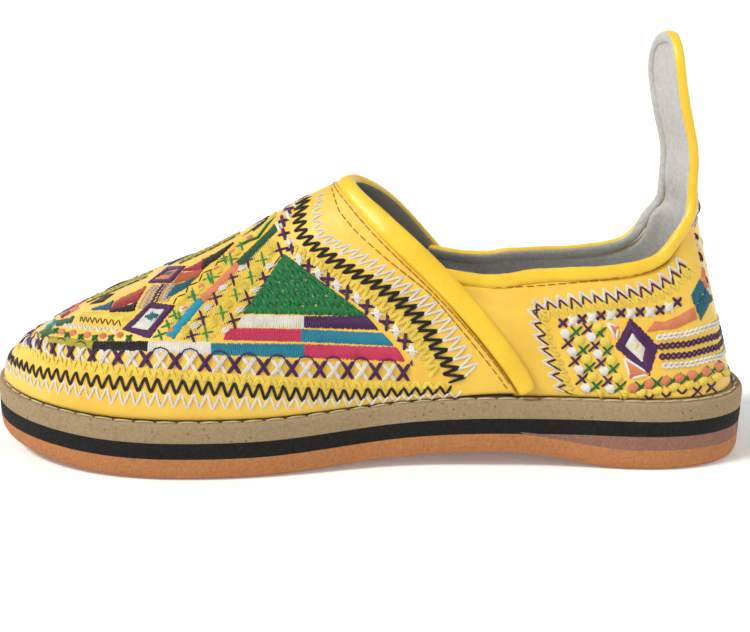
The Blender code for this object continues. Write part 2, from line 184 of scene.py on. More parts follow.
def curve(table):
    """A smooth function through the rows of a table, whose first column is the place."""
    rows = np.array(table, float)
    at, values = rows[:, 0], rows[:, 1:]
    step = np.diff(at)
    slope = np.diff(values, axis=0) / step[:, None]
    system = np.diag(2 * (step[:-1] + step[1:])) + np.diag(step[1:-1], 1) + np.diag(step[1:-1], -1)
    bend = np.zeros_like(values)
    bend[1:-1] = np.linalg.solve(system, 6 * np.diff(slope, axis=0))

    def value(place):
        i = int(np.clip(np.searchsorted(at, place) - 1, 0, len(step) - 1))
        left, right, h = place - at[i], at[i + 1] - place, step[i]
        bent = (bend[i] * right**3 + bend[i + 1] * left**3) / (6 * h)
        straight = (values[i] / h - bend[i] * h / 6) * right + (values[i + 1] / h - bend[i + 1] * h / 6) * left
        return bent + straight

    return value


def smooth_step(value):
    t = min(1.0, max(0.0, value))
    return t * t * (3 - 2 * t)


def travelled(points):
    """How far along a line each of its points is."""
    return np.concatenate([[0], np.cumsum(np.linalg.norm(np.diff(points, axis=0), axis=1))])


def columns_at(places, known, table):
    """Each column of a table read at places between the known ones."""
    return np.column_stack([np.interp(places, known, column) for column in np.transpose(table)])


def closed_curve(points, steps):
    """A smooth closed curve through the points, as that many steps of equal length."""
    points = np.array(points)
    wrapped = np.vstack([points[-3:], points, points[:4]])
    at = travelled(wrapped)
    through = curve(np.column_stack([at, wrapped]))
    fine = np.array([through(place) for place in np.linspace(at[3], at[-4], 4 * steps + 1)])
    length = travelled(fine)
    return columns_at(np.linspace(0, length[-1], steps + 1)[:-1], length, fine)


class Outline:
    """The sole seen from above, from the toe's tip round the outer side to the heel and back."""

    def __init__(self):
        outer = [(ball * BALL_HALF_WIDTH + heel * HEEL_HALF_WIDTH, at) for at, ball, heel in OUTER_EDGE]
        inner = [(-ball * BALL_HALF_WIDTH - heel * HEEL_HALF_WIDTH, at) for at, ball, heel in INNER_EDGE]
        tip = (TOE_TIP_SHARE * BALL_HALF_WIDTH, 0.0)
        shape = [tip, *outer, (0.0, 1.0), *reversed(inner)]
        loop = closed_curve([(x, at * SOLE_LENGTH) for x, at in shape], OUTLINE_STEPS)
        low, high = loop.min(axis=0), loop.max(axis=0)
        loop[:, 0] -= (low[0] + high[0]) / 2
        loop[:, 1] = ((loop[:, 1] - low[1]) / (high[1] - low[1]) - 0.5) * SOLE_LENGTH
        loop = np.roll(loop, -int(loop[:, 1].argmin()), axis=0)
        ahead, behind = np.roll(loop, -1, axis=0), np.roll(loop, 1, axis=0)
        along = (ahead - behind) / np.linalg.norm(ahead - behind, axis=1)[:, None]
        self.points = np.vstack([loop, loop[:1]])
        self.outward = np.column_stack([along[:, 1], -along[:, 0]])
        self.outward = np.vstack([self.outward, self.outward[:1]])
        self.heel = int(loop[:, 1].argmax())

    def at(self, side, share, inset):
        """The point at a share of the way from toe to heel on one side (1 outer, -1 inner), moved in by inset."""
        ends = (0, self.heel) if side > 0 else (OUTLINE_STEPS, self.heel)
        place = ends[0] + (ends[1] - ends[0]) * share
        steps = np.arange(OUTLINE_STEPS + 1)
        x, y, out_x, out_y = (
            np.interp(place, steps, column) for column in (*self.points.T, *self.outward.T)
        )
        return x - out_x * inset, y - out_y * inset

    def share_at(self, side, place):
        """The share of one side's edge where it passes a place along the length."""
        shares = np.linspace(0, 1, 400)
        lengths = [self.at(side, share, 0)[1] for share in shares]
        return float(np.interp((place - 0.5) * SOLE_LENGTH, lengths, shares))


OUTLINE = Outline()


def place_of(y):
    return y / SOLE_LENGTH + 0.5


def toe_share(y):
    """How much of the toe's rise has come at a length: none behind the ball, all of it at the tip."""
    return max(0.0, 1 - place_of(y) / SPRING_END) ** 2


def spring(y):
    """How far the sole curls up off the floor at the toe."""
    return TOE_SPRING * toe_share(y)


def lift_of_wedge(y):
    return HEEL_RISE * smooth_step((place_of(y) - WEDGE_START) / (WEDGE_FULL - WEDGE_START))


def black_bottom(y):
    """The line that the heel lifts: it climbs under the waist and stays up."""
    rise = HEEL_RISE * smooth_step((place_of(y) - RISE_START) / (RISE_END - RISE_START))
    return OUTSOLE_THICKNESS + GLUE_GAP + rise + spring(y)


def wedge_top(y):
    return black_bottom(y) - GLUE_GAP


def outsole_top(y):
    return wedge_top(y) - lift_of_wedge(y)


def wedge_bottom(y):
    return outsole_top(y) + GLUE_GAP


def outsole_bottom(y):
    return outsole_top(y) - OUTSOLE_THICKNESS + TOE_ROCKER * toe_share(y)


def black_top(y):
    return black_bottom(y) + BLACK_THICKNESS


def tan_bottom(y):
    return black_top(y) + GLUE_GAP


def tan_top(y):
    return tan_bottom(y) + TAN_THICKNESS


def feather(y):
    """Height where the upper starts."""
    return tan_top(y) + GLUE_GAP


def insole_top(y):
    return feather(y) + INSOLE_THICKNESS


# Where the sole's ledge starts to widen towards the heel, and over how much of the length
HEEL_LEDGE_START, HEEL_LEDGE_OVER = 0.72, 0.2


def ledge(y):
    """How far the sole stands out beyond the upper."""
    return LEDGE + (HEEL_LEDGE - LEDGE) * smooth_step((place_of(y) - HEEL_LEDGE_START) / HEEL_LEDGE_OVER)


def foot(side, share):
    """Point of the upper's lower edge, at a share of the way from toe to heel."""
    y_edge = OUTLINE.at(side, share, 0)[1]
    x, y = OUTLINE.at(side, share, ledge(y_edge))
    return np.array([x, y, feather(y)])


RIDGE_LINE = curve(RIDGE)
RIB_SHAPE = curve(RIBS)
VAMP_EDGE = {side: OUTLINE.share_at(side, VAMP_FOOT) for side in (1, -1)}


def ridge_point(place):
    height, shift = RIDGE_LINE(place)
    y = (place - 0.5) * SOLE_LENGTH
    return np.array([shift * BALL_HALF_WIDTH, y, feather(y) + height * INSTEP_RISE])


def vamp_point(side, u, v):
    """Vamp before its step: u runs from the toe's middle to the throat, v from the sole to the ridge."""
    place, swing, across_power, up_power = RIB_SHAPE(u)
    base = foot(side, u * VAMP_EDGE[side])
    top = ridge_point(place)
    slope = (ridge_point(place + SLOPE_STEP) - ridge_point(place - SLOPE_STEP)) / (2 * SLOPE_STEP * SOLE_LENGTH)
    turn = (1 - v) * math.pi / 2
    across, up = math.sin(turn) ** across_power, max(0.0, math.cos(turn)) ** up_power
    back = base[1] - top[1]
    x = top[0] + (base[0] - top[0]) * across
    y = top[1] + back * ((1 - swing) * across + swing * (1 - up**SWING))
    crown = top[2] + slope[2] * (1 - swing) * back * across
    return np.array([x, y, base[2] + (crown - base[2]) * up])


def rib(side, u):
    return np.array([vamp_point(side, u, j / VAMP_ROWS) for j in range(VAMP_ROWS + 1)])


class Quarter:
    """One side of the quarter and of the heel tab above it, as columns that rise from the sole."""

    def __init__(self, side):
        self.side = side
        self.seam = rib(side, 1.0)[: SEAM_ROWS + 1]
        start = self.seam[-1]
        rows = [(0.0, *start)]
        for share, place, half, height in TOPLINE:
            y = (place - 0.5) * SOLE_LENGTH
            rows.append((share, side * half * HEEL_HALF_WIDTH, y, feather(y) + height * COLLAR_RISE))
        mirrored = [(2 - share, -x, y, z) for share, x, y, z in rows[-2:-5:-1]]
        self.top_line = curve(rows + mirrored)
        rises = (self.seam - self.seam[0]) / (start - self.seam[0])
        self.rise, self.rib_lean = rises[:, 2], rises[:, :2]

    def column(self, w):
        """The points of one column up to the collar, w running from the seam to the heel's middle."""
        if w == 0:
            return self.seam
        first = VAMP_EDGE[self.side]
        base = foot(self.side, first + (1 - first) * w)
        top = self.top_line(w)
        blend = smooth_step(w / LEAN_BLEND)
        lean = self.rib_lean * (1 - blend) + (self.rise**QUARTER_LEAN)[:, None] * blend
        flat = base[:2] + (top[:2] - base[:2]) * lean
        return np.column_stack([flat, base[2] + (top[2] - base[2]) * self.rise])

    def tab_path(self, w):
        """The column's place across and along the shoe by height, from the sole to the tab's top."""
        below = self.column(w)
        across = self.side * (1 - w) / (1 - TAB_START)
        keys = [(z, x, y) for x, y, z in below[:: SEAM_ROWS // 3]]
        for height, half, back, hollow in TAB:
            width = half * TAB_HALF_WIDTH
            y = (0.5 - back) * SOLE_LENGTH - hollow * width * across**2
            keys.append((height * TAB_TOP, width * across, y))
        return curve(keys)

    def tab_column(self, w):
        """The column's points above the collar, up to the tab's round top."""
        path, middle = self.tab_path(w), self.tab_path(1.0)
        bottom, corner = self.column(w)[-1][2], TAB_TOP - TAB_CORNER
        heights = [bottom + (corner - bottom) * k / TAB_LEVELS for k in range(1, TAB_LEVELS + 1)]
        narrow = [1.0] * TAB_LEVELS
        for k in range(1, TAB_TOP_LEVELS + 1):
            turn = math.radians(TAB_TOP_TURN) * k / TAB_TOP_LEVELS
            heights.append(corner + TAB_CORNER * math.sin(turn))
            narrow.append(math.cos(turn) ** TAB_TOP_NARROWS)
        points = []
        for z, width in zip(heights, narrow):
            x, y = path(z)
            back = middle(z)[1]
            points.append(np.array([x * width, back + (y - back) * width**2, z]))
        return np.array(points)


QUARTERS = {side: Quarter(side) for side in (1, -1)}


def grids(side):
    """The three grids of points on one side, each as columns that rise from the sole."""
    quarter = QUARTERS[side]
    return {
        "vamp": [rib(side, u) for u in VAMP_SHARES],
        "quarter": [quarter.column(w) for w in QUARTER_SHARES],
        "tab": [np.vstack([quarter.column(w)[-1:], quarter.tab_column(w)]) for w in TAB_SHARES],
    }


# How near the sole a point counts as on it, in millimetres
ON_SOLE = 0.01


class Skin:
    """A surface welded from grids of points, each on the vamp's or the quarter's layer."""

    def __init__(self):
        self.points, self.index, self.faces = [], {}, []

    def vertex(self, point):
        key = tuple(round(float(c), 3) for c in point)
        if key not in self.index:
            self.index[key] = len(self.points)
            self.points.append(np.array(point, float))
        return self.index[key]

    def grid(self, rows, layer, flip):
        ids = [[self.vertex(p) for p in row] for row in rows]
        for left, right in zip(ids, ids[1:]):
            for j in range(len(left) - 1):
                face = [left[j], right[j], right[j + 1], left[j + 1]]
                face = [v for k, v in enumerate(face) if v != face[k - 1]]
                if len(face) > 2:
                    self.faces.append((face[::-1] if flip else face, layer))

    def normals(self):
        """Outward direction at each point."""
        points = np.array(self.points)
        total = np.zeros_like(points)
        for face, _ in self.faces:
            corners = points[face]
            normal = sum(np.cross(corners[k - 1], corners[k]) for k in range(len(face)))
            total[face] += normal
        on_sole = [z < feather(y) + ON_SOLE for _, y, z in points]
        total[on_sole, 2] = 0
        return total / np.linalg.norm(total, axis=1)[:, None]


# Camera that matches the photograph: its place in millimetres, its turns in degrees, its focal length in pixels
CAMERA_AT = np.array([259.6, -9.8, 90.4])
CAMERA_YAW, CAMERA_PITCH, CAMERA_ROLL = 2.15, 13.04, 1.4
FOCAL_PIXELS = 1032.0
PHOTO_WIDTH, PHOTO_HEIGHT = 750, 632
SENSOR_WIDTH = 36.0


def camera_axes():
    """Forward, right and up of the camera."""
    yaw, pitch, roll_angle = (math.radians(a) for a in (CAMERA_YAW, CAMERA_PITCH, CAMERA_ROLL))
    level = math.cos(pitch)
    forward = np.array([-level * math.cos(yaw), level * math.sin(yaw), -math.sin(pitch)])
    right = np.cross(forward, [0, 0, 1.0])
    right /= np.linalg.norm(right)
    up = np.cross(right, forward)
    turned = right * math.cos(roll_angle) + up * math.sin(roll_angle)
    return forward, turned, up * math.cos(roll_angle) - right * math.sin(roll_angle)


FORWARD, RIGHT, UP = camera_axes()


def pixel_direction(x, y):
    across = (x - PHOTO_WIDTH / 2) / FOCAL_PIXELS
    down = (y - PHOTO_HEIGHT / 2) / FOCAL_PIXELS
    way = FORWARD + RIGHT * across - UP * down
    return way / np.linalg.norm(way)


# Materials

def new_material(name):
    material = bpy.data.materials.new(name)
    material.use_nodes = True
    return material, material.node_tree, material.node_tree.nodes["Principled BSDF"]


def set_inputs(tree, node, inputs):
    """Sets each input of a node to a value or to another node's output."""
    for name, value in inputs.items():
        if isinstance(value, bpy.types.NodeSocket):
            tree.links.new(value, node.inputs[name])
        else:
            node.inputs[name].default_value = value


def new_node(tree, kind, inputs):
    node = tree.nodes.new(kind)
    set_inputs(tree, node, inputs)
    return node


def in_object(tree):
    return tree.nodes.new("ShaderNodeTexCoord").outputs["Object"]


def noise(tree, scale, detail=4.0, roughness=0.55):
    """A noise in object space, with its scale per metre."""
    inputs = {"Scale": scale, "Detail": detail, "Roughness": roughness, "Vector": in_object(tree)}
    return new_node(tree, "ShaderNodeTexNoise", inputs).outputs["Fac"]


def ramp(tree, value, stops):
    """Colours or greys along a value."""
    node = tree.nodes.new("ShaderNodeValToRGB")
    elements = node.color_ramp.elements
    while len(elements) < len(stops):
        elements.new(0.5)
    for element, (place, colour) in zip(elements, stops):
        element.position = place
        element.color = (*colour, 1) if hasattr(colour, "__len__") else (colour, colour, colour, 1)
    tree.links.new(value, node.inputs["Fac"])
    return node.outputs["Color"]


def bump(tree, height, strength, distance, below=None):
    inputs = {"Strength": strength, "Distance": distance, "Height": height}
    if below is not None:
        inputs["Normal"] = below
    return new_node(tree, "ShaderNodeBump", inputs).outputs["Normal"]


def multiply(tree, first, second):
    """The product of two colours."""
    mixed = tree.nodes.new("ShaderNodeMix")
    mixed.data_type = "RGBA"
    mixed.blend_type = "MULTIPLY"
    set_inputs(tree, mixed, {"Factor": 1.0, "A": first, "B": second})
    return mixed.outputs["Result"]


def leather(name, dark, light, roughness, pebble=2600):
    """Soft goat leather: fine pebbled grain, gentle mottling and a soft gloss."""
    material, tree, shader = new_material(name)
    cells = new_node(tree, "ShaderNodeTexVoronoi", {"Scale": pebble, "Vector": in_object(tree)})
    soft = bump(tree, noise(tree, 260, 4, 0.6), 0.35, 0.0006)
    set_inputs(tree, shader, {
        "Base Color": ramp(tree, noise(tree, 45, 5, 0.6), [(0.3, dark), (0.7, light)]),
        "Normal": bump(tree, cells.outputs["Distance"], 0.22, 0.00012, soft),
        "Roughness": ramp(tree, noise(tree, 700, 3), [(0.3, roughness - 0.06), (0.7, roughness + 0.08)]),
        "Specular IOR Level": 0.45,
        "Coat Weight": 0.08,
        "Coat Roughness": 0.35,
    })
    return material


# Where along the shoe, in metres, the lining goes from its dark end, painted shade inside the vamp, to its light one
DEEP_FROM, DEEP_TO = -0.008, 0.032


def suede(name, dark, light, deep=1.0):
    """Napped leather, darker by the given share inside the vamp, where little light reaches it."""
    material, tree, shader = new_material(name)
    parts = new_node(tree, "ShaderNodeSeparateXYZ", {"Vector": in_object(tree)})
    stops = {"Value": parts.outputs["Y"], "From Min": DEEP_FROM, "From Max": DEEP_TO, "To Min": deep}
    along = new_node(tree, "ShaderNodeMapRange", stops)
    nap = ramp(tree, noise(tree, 900, 8, 0.75), [(0.3, dark), (0.7, light)])
    set_inputs(tree, shader, {
        "Base Color": multiply(tree, nap, along.outputs["Result"]),
        "Normal": bump(tree, noise(tree, 2400, 6, 0.8), 0.8, 0.0003),
        "Roughness": 0.95,
        "Specular IOR Level": 0.15,
        "Sheen Weight": 0.35,
        "Sheen Roughness": 0.5,
    })
    return material


def foam(name, dark, middle, light, specks=None):
    """Cellular rubber: matt, with pores and specks cut open on its ground edge."""
    material, tree, shader = new_material(name)
    fine = noise(tree, 1500, 6, 0.7)
    base = ramp(tree, fine, [(0.28, dark), (0.5, middle), (0.75, light)])
    colour = multiply(tree, base, ramp(tree, noise(tree, 60, 4, 0.6), [(0.25, 0.86), (0.75, 1.0)]))
    holes = new_node(tree, "ShaderNodeTexVoronoi", {"Scale": 520, "Randomness": 1.0, "Vector": in_object(tree)})
    spots = ramp(tree, holes.outputs["Distance"], [(0.0, 0.0), (0.2, 1.0)])
    if specks:
        speckled = tree.nodes.new("ShaderNodeMix")
        speckled.data_type = "RGBA"
        set_inputs(tree, speckled, {"Factor": spots, "A": (*specks, 1), "B": colour})
        colour = speckled.outputs["Result"]
    set_inputs(tree, shader, {
        "Base Color": colour,
        "Normal": bump(tree, spots, 0.5, 0.0003, bump(tree, fine, 0.6, 0.0004)),
        "Roughness": 0.88,
        "Specular IOR Level": 0.25,
    })
    return material


def floss(name, colour):
    """Twisted embroidery thread: strands run at a slant round it, with a silky sheen."""
    material, tree, shader = new_material(name)
    strands = tree.nodes.new("ShaderNodeTexWave")
    strands.wave_type = "BANDS"
    strands.bands_direction = "DIAGONAL"
    along = tree.nodes.new("ShaderNodeUVMap").outputs["UV"]
    set_inputs(tree, strands, {"Scale": 2.2, "Distortion": 1.2, "Vector": along})
    # Painted shade: the colour darkens in the grooves between the strands, where the bump sinks
    shade = ramp(tree, strands.outputs["Fac"], [(0.0, tuple(c * 0.62 for c in colour)), (0.6, colour)])
    set_inputs(tree, shader, {
        "Base Color": multiply(tree, shade, ramp(tree, noise(tree, 350, 3), [(0.3, 0.8), (0.65, 1.0)])),
        "Normal": bump(tree, strands.outputs["Fac"], 0.6, 0.0001),
        "Roughness": 0.42,
        "Specular IOR Level": 0.35,
        "Sheen Weight": 0.05,
        "Sheen Roughness": 0.3,
    })
    return material


MATERIALS = {
    "upper": leather("yellow_goat_leather", (0.74, 0.45, 0.04), (0.86, 0.57, 0.075), 0.42),
    "band": leather("yellow_binding_leather", (0.76, 0.47, 0.014), (0.86, 0.59, 0.035), 0.36, 3200),
    # The lining darkens to a fifth towards the toe: painted shade inside the vamp
    "lining": suede("grey_suede", (0.42, 0.41, 0.39), (0.66, 0.65, 0.62), deep=0.2),
    # Painted shade: a near-black suede for the vamp's inner faces, standing in for the shade inside the shoe
    "shade": suede("painted_shade_suede", (0.055, 0.05, 0.042), (0.11, 0.10, 0.085)),
    "outsole": foam("terracotta_foam", (0.36, 0.135, 0.045), (0.47, 0.195, 0.07), (0.56, 0.26, 0.11)),
    "wedge": foam("mauve_foam", (0.20, 0.095, 0.07), (0.28, 0.14, 0.10), (0.36, 0.19, 0.14)),
    "black": foam("black_foam", (0.005, 0.005, 0.004), (0.010, 0.010, 0.009), (0.024, 0.023, 0.02)),
    "tan": foam("tan_foam", (0.27, 0.19, 0.10), (0.36, 0.26, 0.145), (0.45, 0.34, 0.20), (0.10, 0.07, 0.035)),
}
FLOSS_COLOURS = {
    "purple": (0.075, 0.012, 0.095),
    "black": (0.007, 0.006, 0.006),
    "white": (0.93, 0.89, 0.80),
    "beige": (0.68, 0.52, 0.33),
    "yellow": (0.97, 0.73, 0.10),
    "olive": (0.52, 0.45, 0.035),
    "green": (0.006, 0.18, 0.045),
    "light_green": (0.02, 0.32, 0.085),
    "dark_green": (0.006, 0.10, 0.03),
    "pink": (0.68, 0.04, 0.12),
    "crimson": (0.42, 0.02, 0.055),
    "rust": (0.55, 0.12, 0.04),
    "salmon": (0.82, 0.26, 0.12),
    "blue": (0.014, 0.25, 0.38),
    "cyan": (0.02, 0.36, 0.56),
    "teal": (0.008, 0.13, 0.19),
    "brown": (0.43, 0.18, 0.02),
    "cream": (0.66, 0.57, 0.40),
}


def new_piece(name, vertices, faces, materials, which=None):
    """A mesh object from points in millimetres, riding with the shoe."""
    mesh = bpy.data.meshes.new(name)
    mesh.from_pydata((np.array(vertices) * MM).tolist(), [], faces)
    for material in materials:
        mesh.materials.append(material)
    if which is not None:
        mesh.polygons.foreach_set("material_index", which)
    mesh.shade_smooth()
    piece = bpy.data.objects.new(name, mesh)
    bpy.context.scene.collection.objects.link(piece)
    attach(piece, BODY)
    return piece


def subdivide(piece):
    modifier = piece.modifiers.new("smooth", "SUBSURF")
    modifier.levels = modifier.render_levels = 1


# Surfaces as grids of points, one for the vamp, the quarter and the tab on each side

class Sheet:
    """A grid of outer points and normals, read at any share of its rows and columns."""

    def __init__(self, rows, side, lift):
        self.points = np.array(rows)
        across = np.gradient(self.points, axis=0)
        up = np.gradient(self.points, axis=1)
        normals = np.cross(across, up) * side
        lengths = np.linalg.norm(normals, axis=2)
        normals /= np.maximum(lengths, 1e-9)[:, :, None]
        self.normals = normals
        self.points = self.points + normals * lift

    def at(self, u, v):
        count, rows = self.points.shape[0] - 1, self.points.shape[1] - 1
        a, b = min(max(u, 0), 1) * count, min(max(v, 0), 1) * rows
        i, j = min(int(a), count - 1), min(int(b), rows - 1)
        a, b = a - i, b - j
        shares = ((1 - a) * (1 - b), a * (1 - b), (1 - a) * b, a * b)
        corners = ((i, j), (i + 1, j), (i, j + 1), (i + 1, j + 1))
        point = sum(s * self.points[c] for s, c in zip(shares, corners))
        normal = sum(s * self.normals[c] for s, c in zip(shares, corners))
        return point, normal / np.linalg.norm(normal)


SHEETS = {
    (kind, side): Sheet(rows, side, VAMP_STEP if kind == "vamp" else 0.0)
    for side in (1, -1)
    for kind, rows in grids(side).items()
}


def near_tree():
    """A search tree over the outer side's sheets, with the sheet and cell of each face."""
    points, faces, cells = [], [], []
    for kind in ("vamp", "quarter", "tab"):
        grid = SHEETS[kind, 1].points
        columns, rows = grid.shape[:2]
        first = len(points)
        points += [Vector(p) for p in grid.reshape(-1, 3)]
        for i in range(columns - 1):
            for j in range(rows - 1):
                a = first + i * rows + j
                faces.append((a, a + rows, a + rows + 1, a + 1))
                cells.append((kind, i, j))
    return BVHTree.FromPolygons(points, faces), cells


TREE, CELLS = near_tree()


def on_surface(x, y):
    """The sheet and the shares where the photograph's pixel falls on the outer side, or None."""
    way = Vector(pixel_direction(x, y))
    hit, _, face, _ = TREE.ray_cast(Vector(CAMERA_AT), way)
    if hit is None:
        return None
    kind, i, j = CELLS[face]
    grid = SHEETS[kind, 1].points
    corner, along, up = grid[i, j], grid[i + 1, j] - grid[i, j], grid[i, j + 1] - grid[i, j]
    shares, *_ = np.linalg.lstsq(np.column_stack([along, up]), np.array(hit) - corner, rcond=None)
    a, b = np.clip(shares, 0, 1)
    return kind, (i + a) / (grid.shape[0] - 1), (j + b) / (grid.shape[1] - 1)


# Threads, gathered by colour and made into one piece each

# Half thickness of the threads, the space between satin threads, and the sides of a thread's section
FLOSS = 0.36
FINE_FLOSS = 0.24
SATIN_FLOSS = 0.29
SEWING_THREAD = 0.14
SATIN_STEP = 0.42
RING = 6
BAR_FLOSS, BLOCK_FLOSS = 0.27, 0.3
# Heights over the leather, in half thicknesses: a plain thread, satin, a block, and the upper arm of a cross
PLAIN, SATIN, BLOCK, OVER = 0.55, 0.7, 1.1, 1.6
# How deep a thread's ends sink, how square it arches between them, and how fast its strands wind
SUNK, ARCH, TWIST = 0.8, 0.45, 0.25
# Scatter: a stroke's ends and lean as shares of its ribbon, a filling's edge and breaks in pixels, a frame's edge
SCATTER, LEAN, RAGGED, BREAK = 0.06, 0.12, 0.8, 4
FRAME_SCATTER = (-0.05, 0.12)
# Distance of a doubled thread from the middle of its cross, in half thicknesses: on a ribbon, and at a pixel
RIBBON_ARM, PIXEL_ARM = 0.85, 2.8
# How much a block rounds off, the pitch in pixels where the leather isn't hit, and its limits
ROUNDED, PITCH, PITCH_LIMITS = 1.4, 1.2, (0.35, 2.0)
# Points read along a line of pixels, and points by which a ribbon is carried on
LINE_POINTS, MORE_POINTS = 90, 13
THREADS = {colour: [] for colour in FLOSS_COLOURS}


def lay(colour, kind, path, radius=FLOSS, height=PLAIN, steps=5, flat=0.75):
    """One thread along a path of (u, v) shares on a sheet, on both sides of the shoe."""
    path = np.array(path, float)
    fine = np.linspace(0, 1, steps)
    shares = columns_at(fine, np.linspace(0, 1, len(path)), path)
    rise = radius * (-SUNK + (height + SUNK) * np.sin(np.pi * fine) ** ARCH)
    for side in (1, -1):
        points, normals = map(np.array, zip(*(SHEETS[kind, side].at(u, v) for u, v in shares)))
        free_thread(colour, points + normals * rise[:, None], normals, radius, flat)


def free_thread(colour, points, normals, radius, flat=0.8):
    """A thread through points in space."""
    THREADS[colour].append((np.array(points), np.array(normals), radius, flat))


def make_threads():
    for colour, threads in THREADS.items():
        if not threads:
            continue
        vertices, faces, corners = [], [], []
        for centres, normals, radius, flat in threads:
            along = np.gradient(centres, axis=0)
            along /= np.maximum(np.linalg.norm(along, axis=1), 1e-9)[:, None]
            wide = np.cross(along, normals)
            wide /= np.maximum(np.linalg.norm(wide, axis=1), 1e-9)[:, None]
            high = np.cross(wide, along)
            wound = travelled(centres) / radius * TWIST
            first = len(vertices)
            for s in range(len(centres)):
                for k in range(RING):
                    turn = 2 * math.pi * k / RING
                    across, up = math.cos(turn) * radius, math.sin(turn) * radius * flat
                    vertices.append(centres[s] + wide[s] * across + high[s] * up)
            for s in range(len(centres) - 1):
                for k in range(RING):
                    a, b = first + s * RING + k, first + s * RING + (k + 1) % RING
                    faces.append((a, b, b + RING, a + RING))
                    start, end, low, up = wound[s], wound[s + 1], k / RING, (k + 1) / RING
                    corners += [start, low, start, up, end, up, end, low]
        piece = new_piece(f"thread_{colour}", vertices, faces, [floss(f"floss_{colour}", FLOSS_COLOURS[colour])])
        piece.data.uv_layers.new(name="UVMap").data.foreach_set("uv", corners)


class Ribbon:
    """A strip of a sheet between two lines of shares, read by length along it and share across it."""

    def __init__(self, kind, low, high):
        self.kind, self.low, self.high = kind, np.array(low), np.array(high)
        middle = np.array([SHEETS[kind, 1].at(*m)[0] for m in (self.low + self.high) / 2])
        self.at_length = travelled(middle)
        self.length = self.at_length[-1]

    def at(self, length, share):
        low, high = (columns_at([length], self.at_length, line)[0] for line in (self.low, self.high))
        return low + (high - low) * share

    def line(self, colour, points, radius=FLOSS, **more):
        lay(colour, self.kind, [self.at(*p) for p in points], radius, **more)

    def zigzag(self, colour, period, radius=FINE_FLOSS, start=0.0, apart=0.3):
        """Slanting strokes of two threads each."""
        step = period / 2
        for k in range(int((self.length - start) / step)):
            a, b = start + k * step, start + (k + 1) * step
            low, high = (0, 1) if k % 2 else (1, 0)
            low, high = low + random.uniform(-SCATTER, SCATTER), high + random.uniform(-SCATTER, SCATTER)
            self.line(colour, [(a, low), (b, high)], radius)
            if apart:
                self.line(colour, [(a + apart, low), (b + apart * 0.5, high)], radius)

    def crosses(self, colours, period, half, start=0.0, radius=FINE_FLOSS, loops=None):
        """A row of diagonal crosses with two threads to each arm; arcs join those of the colour given as loops."""
        for k in range(int((self.length - start) / period) + 1):
            middle = start + k * period
            colour = colours[k % len(colours)]
            for shift in (-radius * RIBBON_ARM, radius * RIBBON_ARM):
                a, b = middle - half + shift, middle + half + shift
                self.line(colour, [(a, 0), (b, 1)], radius)
                self.line(colour, [(a, 1), (b, 0)], radius, height=OVER)
            if colour == loops:
                bow = [(middle + half * 0.9, 0.1), (middle + period * 0.6, -0.1), (middle + period, -0.2)]
                bow += [(middle + period * 1.4, -0.1), (middle + 2 * period - half * 0.9, 0.1)]
                self.line(colour, bow, radius * 0.6, steps=9, height=2.6)

    def satin(self, colour):
        count = max(1, int(self.length / SATIN_STEP))
        for k in range(count):
            at = (k + 0.5) * self.length / count
            lean = random.uniform(-LEAN, LEAN)
            ends = (-random.uniform(0, SCATTER), 1 + random.uniform(0, SCATTER))
            self.line(colour, [(at - lean, ends[0]), (at + lean, ends[1])], BAR_FLOSS, height=SATIN)

    def chain(self, colour, period, radius=FINE_FLOSS):
        """Linked loops, as in chain stitch."""
        for k in range(int(self.length / period)):
            a = k * period
            b = a + period * 1.15
            for bulge, end in ((0.0, 0.45), (1.0, 0.55)):
                self.line(colour, [(a, 0.5), (a + period * 0.6, bulge), (b, end)], radius)

    def running(self, colour, stitch, gap, radius):
        at = 0.0
        while at + stitch < self.length:
            self.line(colour, [(at, 0.5), (at + stitch, 0.5)], radius, height=SATIN, steps=4)
            at += stitch + gap


def even_line(line, count):
    """Points at even steps along a line of pixels."""
    at = travelled(np.array(line, float))
    return columns_at(np.linspace(0, at[-1], count), at, line)


def pixel_ribbon(first, second, ahead=None, kind=None, beyond=None):
    """A strip between two lines of pixels, carried on to the shares given as ahead and beyond."""
    found = []
    for a, b in zip(even_line(first, LINE_POINTS), even_line(second, LINE_POINTS)):
        low, high = on_surface(*a), on_surface(*b)
        if low and high and low[0] == high[0] and kind in (None, low[0]):
            found.append((low[0], low[1:], high[1:]))
    kind = found[0][0]
    lines = [np.array([f[k] for f in found if f[0] == kind]) for k in (1, 2)]
    if ahead is not None:
        start = min(line[0, 0] for line in lines)
        extra = np.linspace(ahead, start, MORE_POINTS + 1)[:-1]
        keep = np.minimum(lines[0][:, 0], lines[1][:, 0]) >= start
        added = [np.column_stack([extra, np.full(MORE_POINTS, line[0, 1])]) for line in lines]
        lines = [np.vstack([more, line[keep]]) for more, line in zip(added, lines)]
    if beyond is not None:
        end = max(line[-1, 0] for line in lines)
        extra = np.linspace(end, beyond, MORE_POINTS + 1)[1:]
        keep = np.maximum(lines[0][:, 0], lines[1][:, 0]) <= end
        added = [np.column_stack([extra, np.full(MORE_POINTS, line[-1, 1])]) for line in lines]
        lines = [np.vstack([line[keep], more]) for more, line in zip(added, lines)]
    return Ribbon(kind, *lines)


def pixel_thread(colour, points, radius=FLOSS, **more):
    """A thread through pixels of the photograph."""
    found = [f for f in (on_surface(*p) for p in points) if f]
    if len(found) > 1 and all(f[0] == found[0][0] for f in found):
        lay(colour, found[0][0], [f[1:] for f in found], radius, **more)


def joined(colour, line, radius):
    """A thread from each pixel of a line to the next."""
    for ends in zip(line, line[1:]):
        pixel_thread(colour, ends, radius)


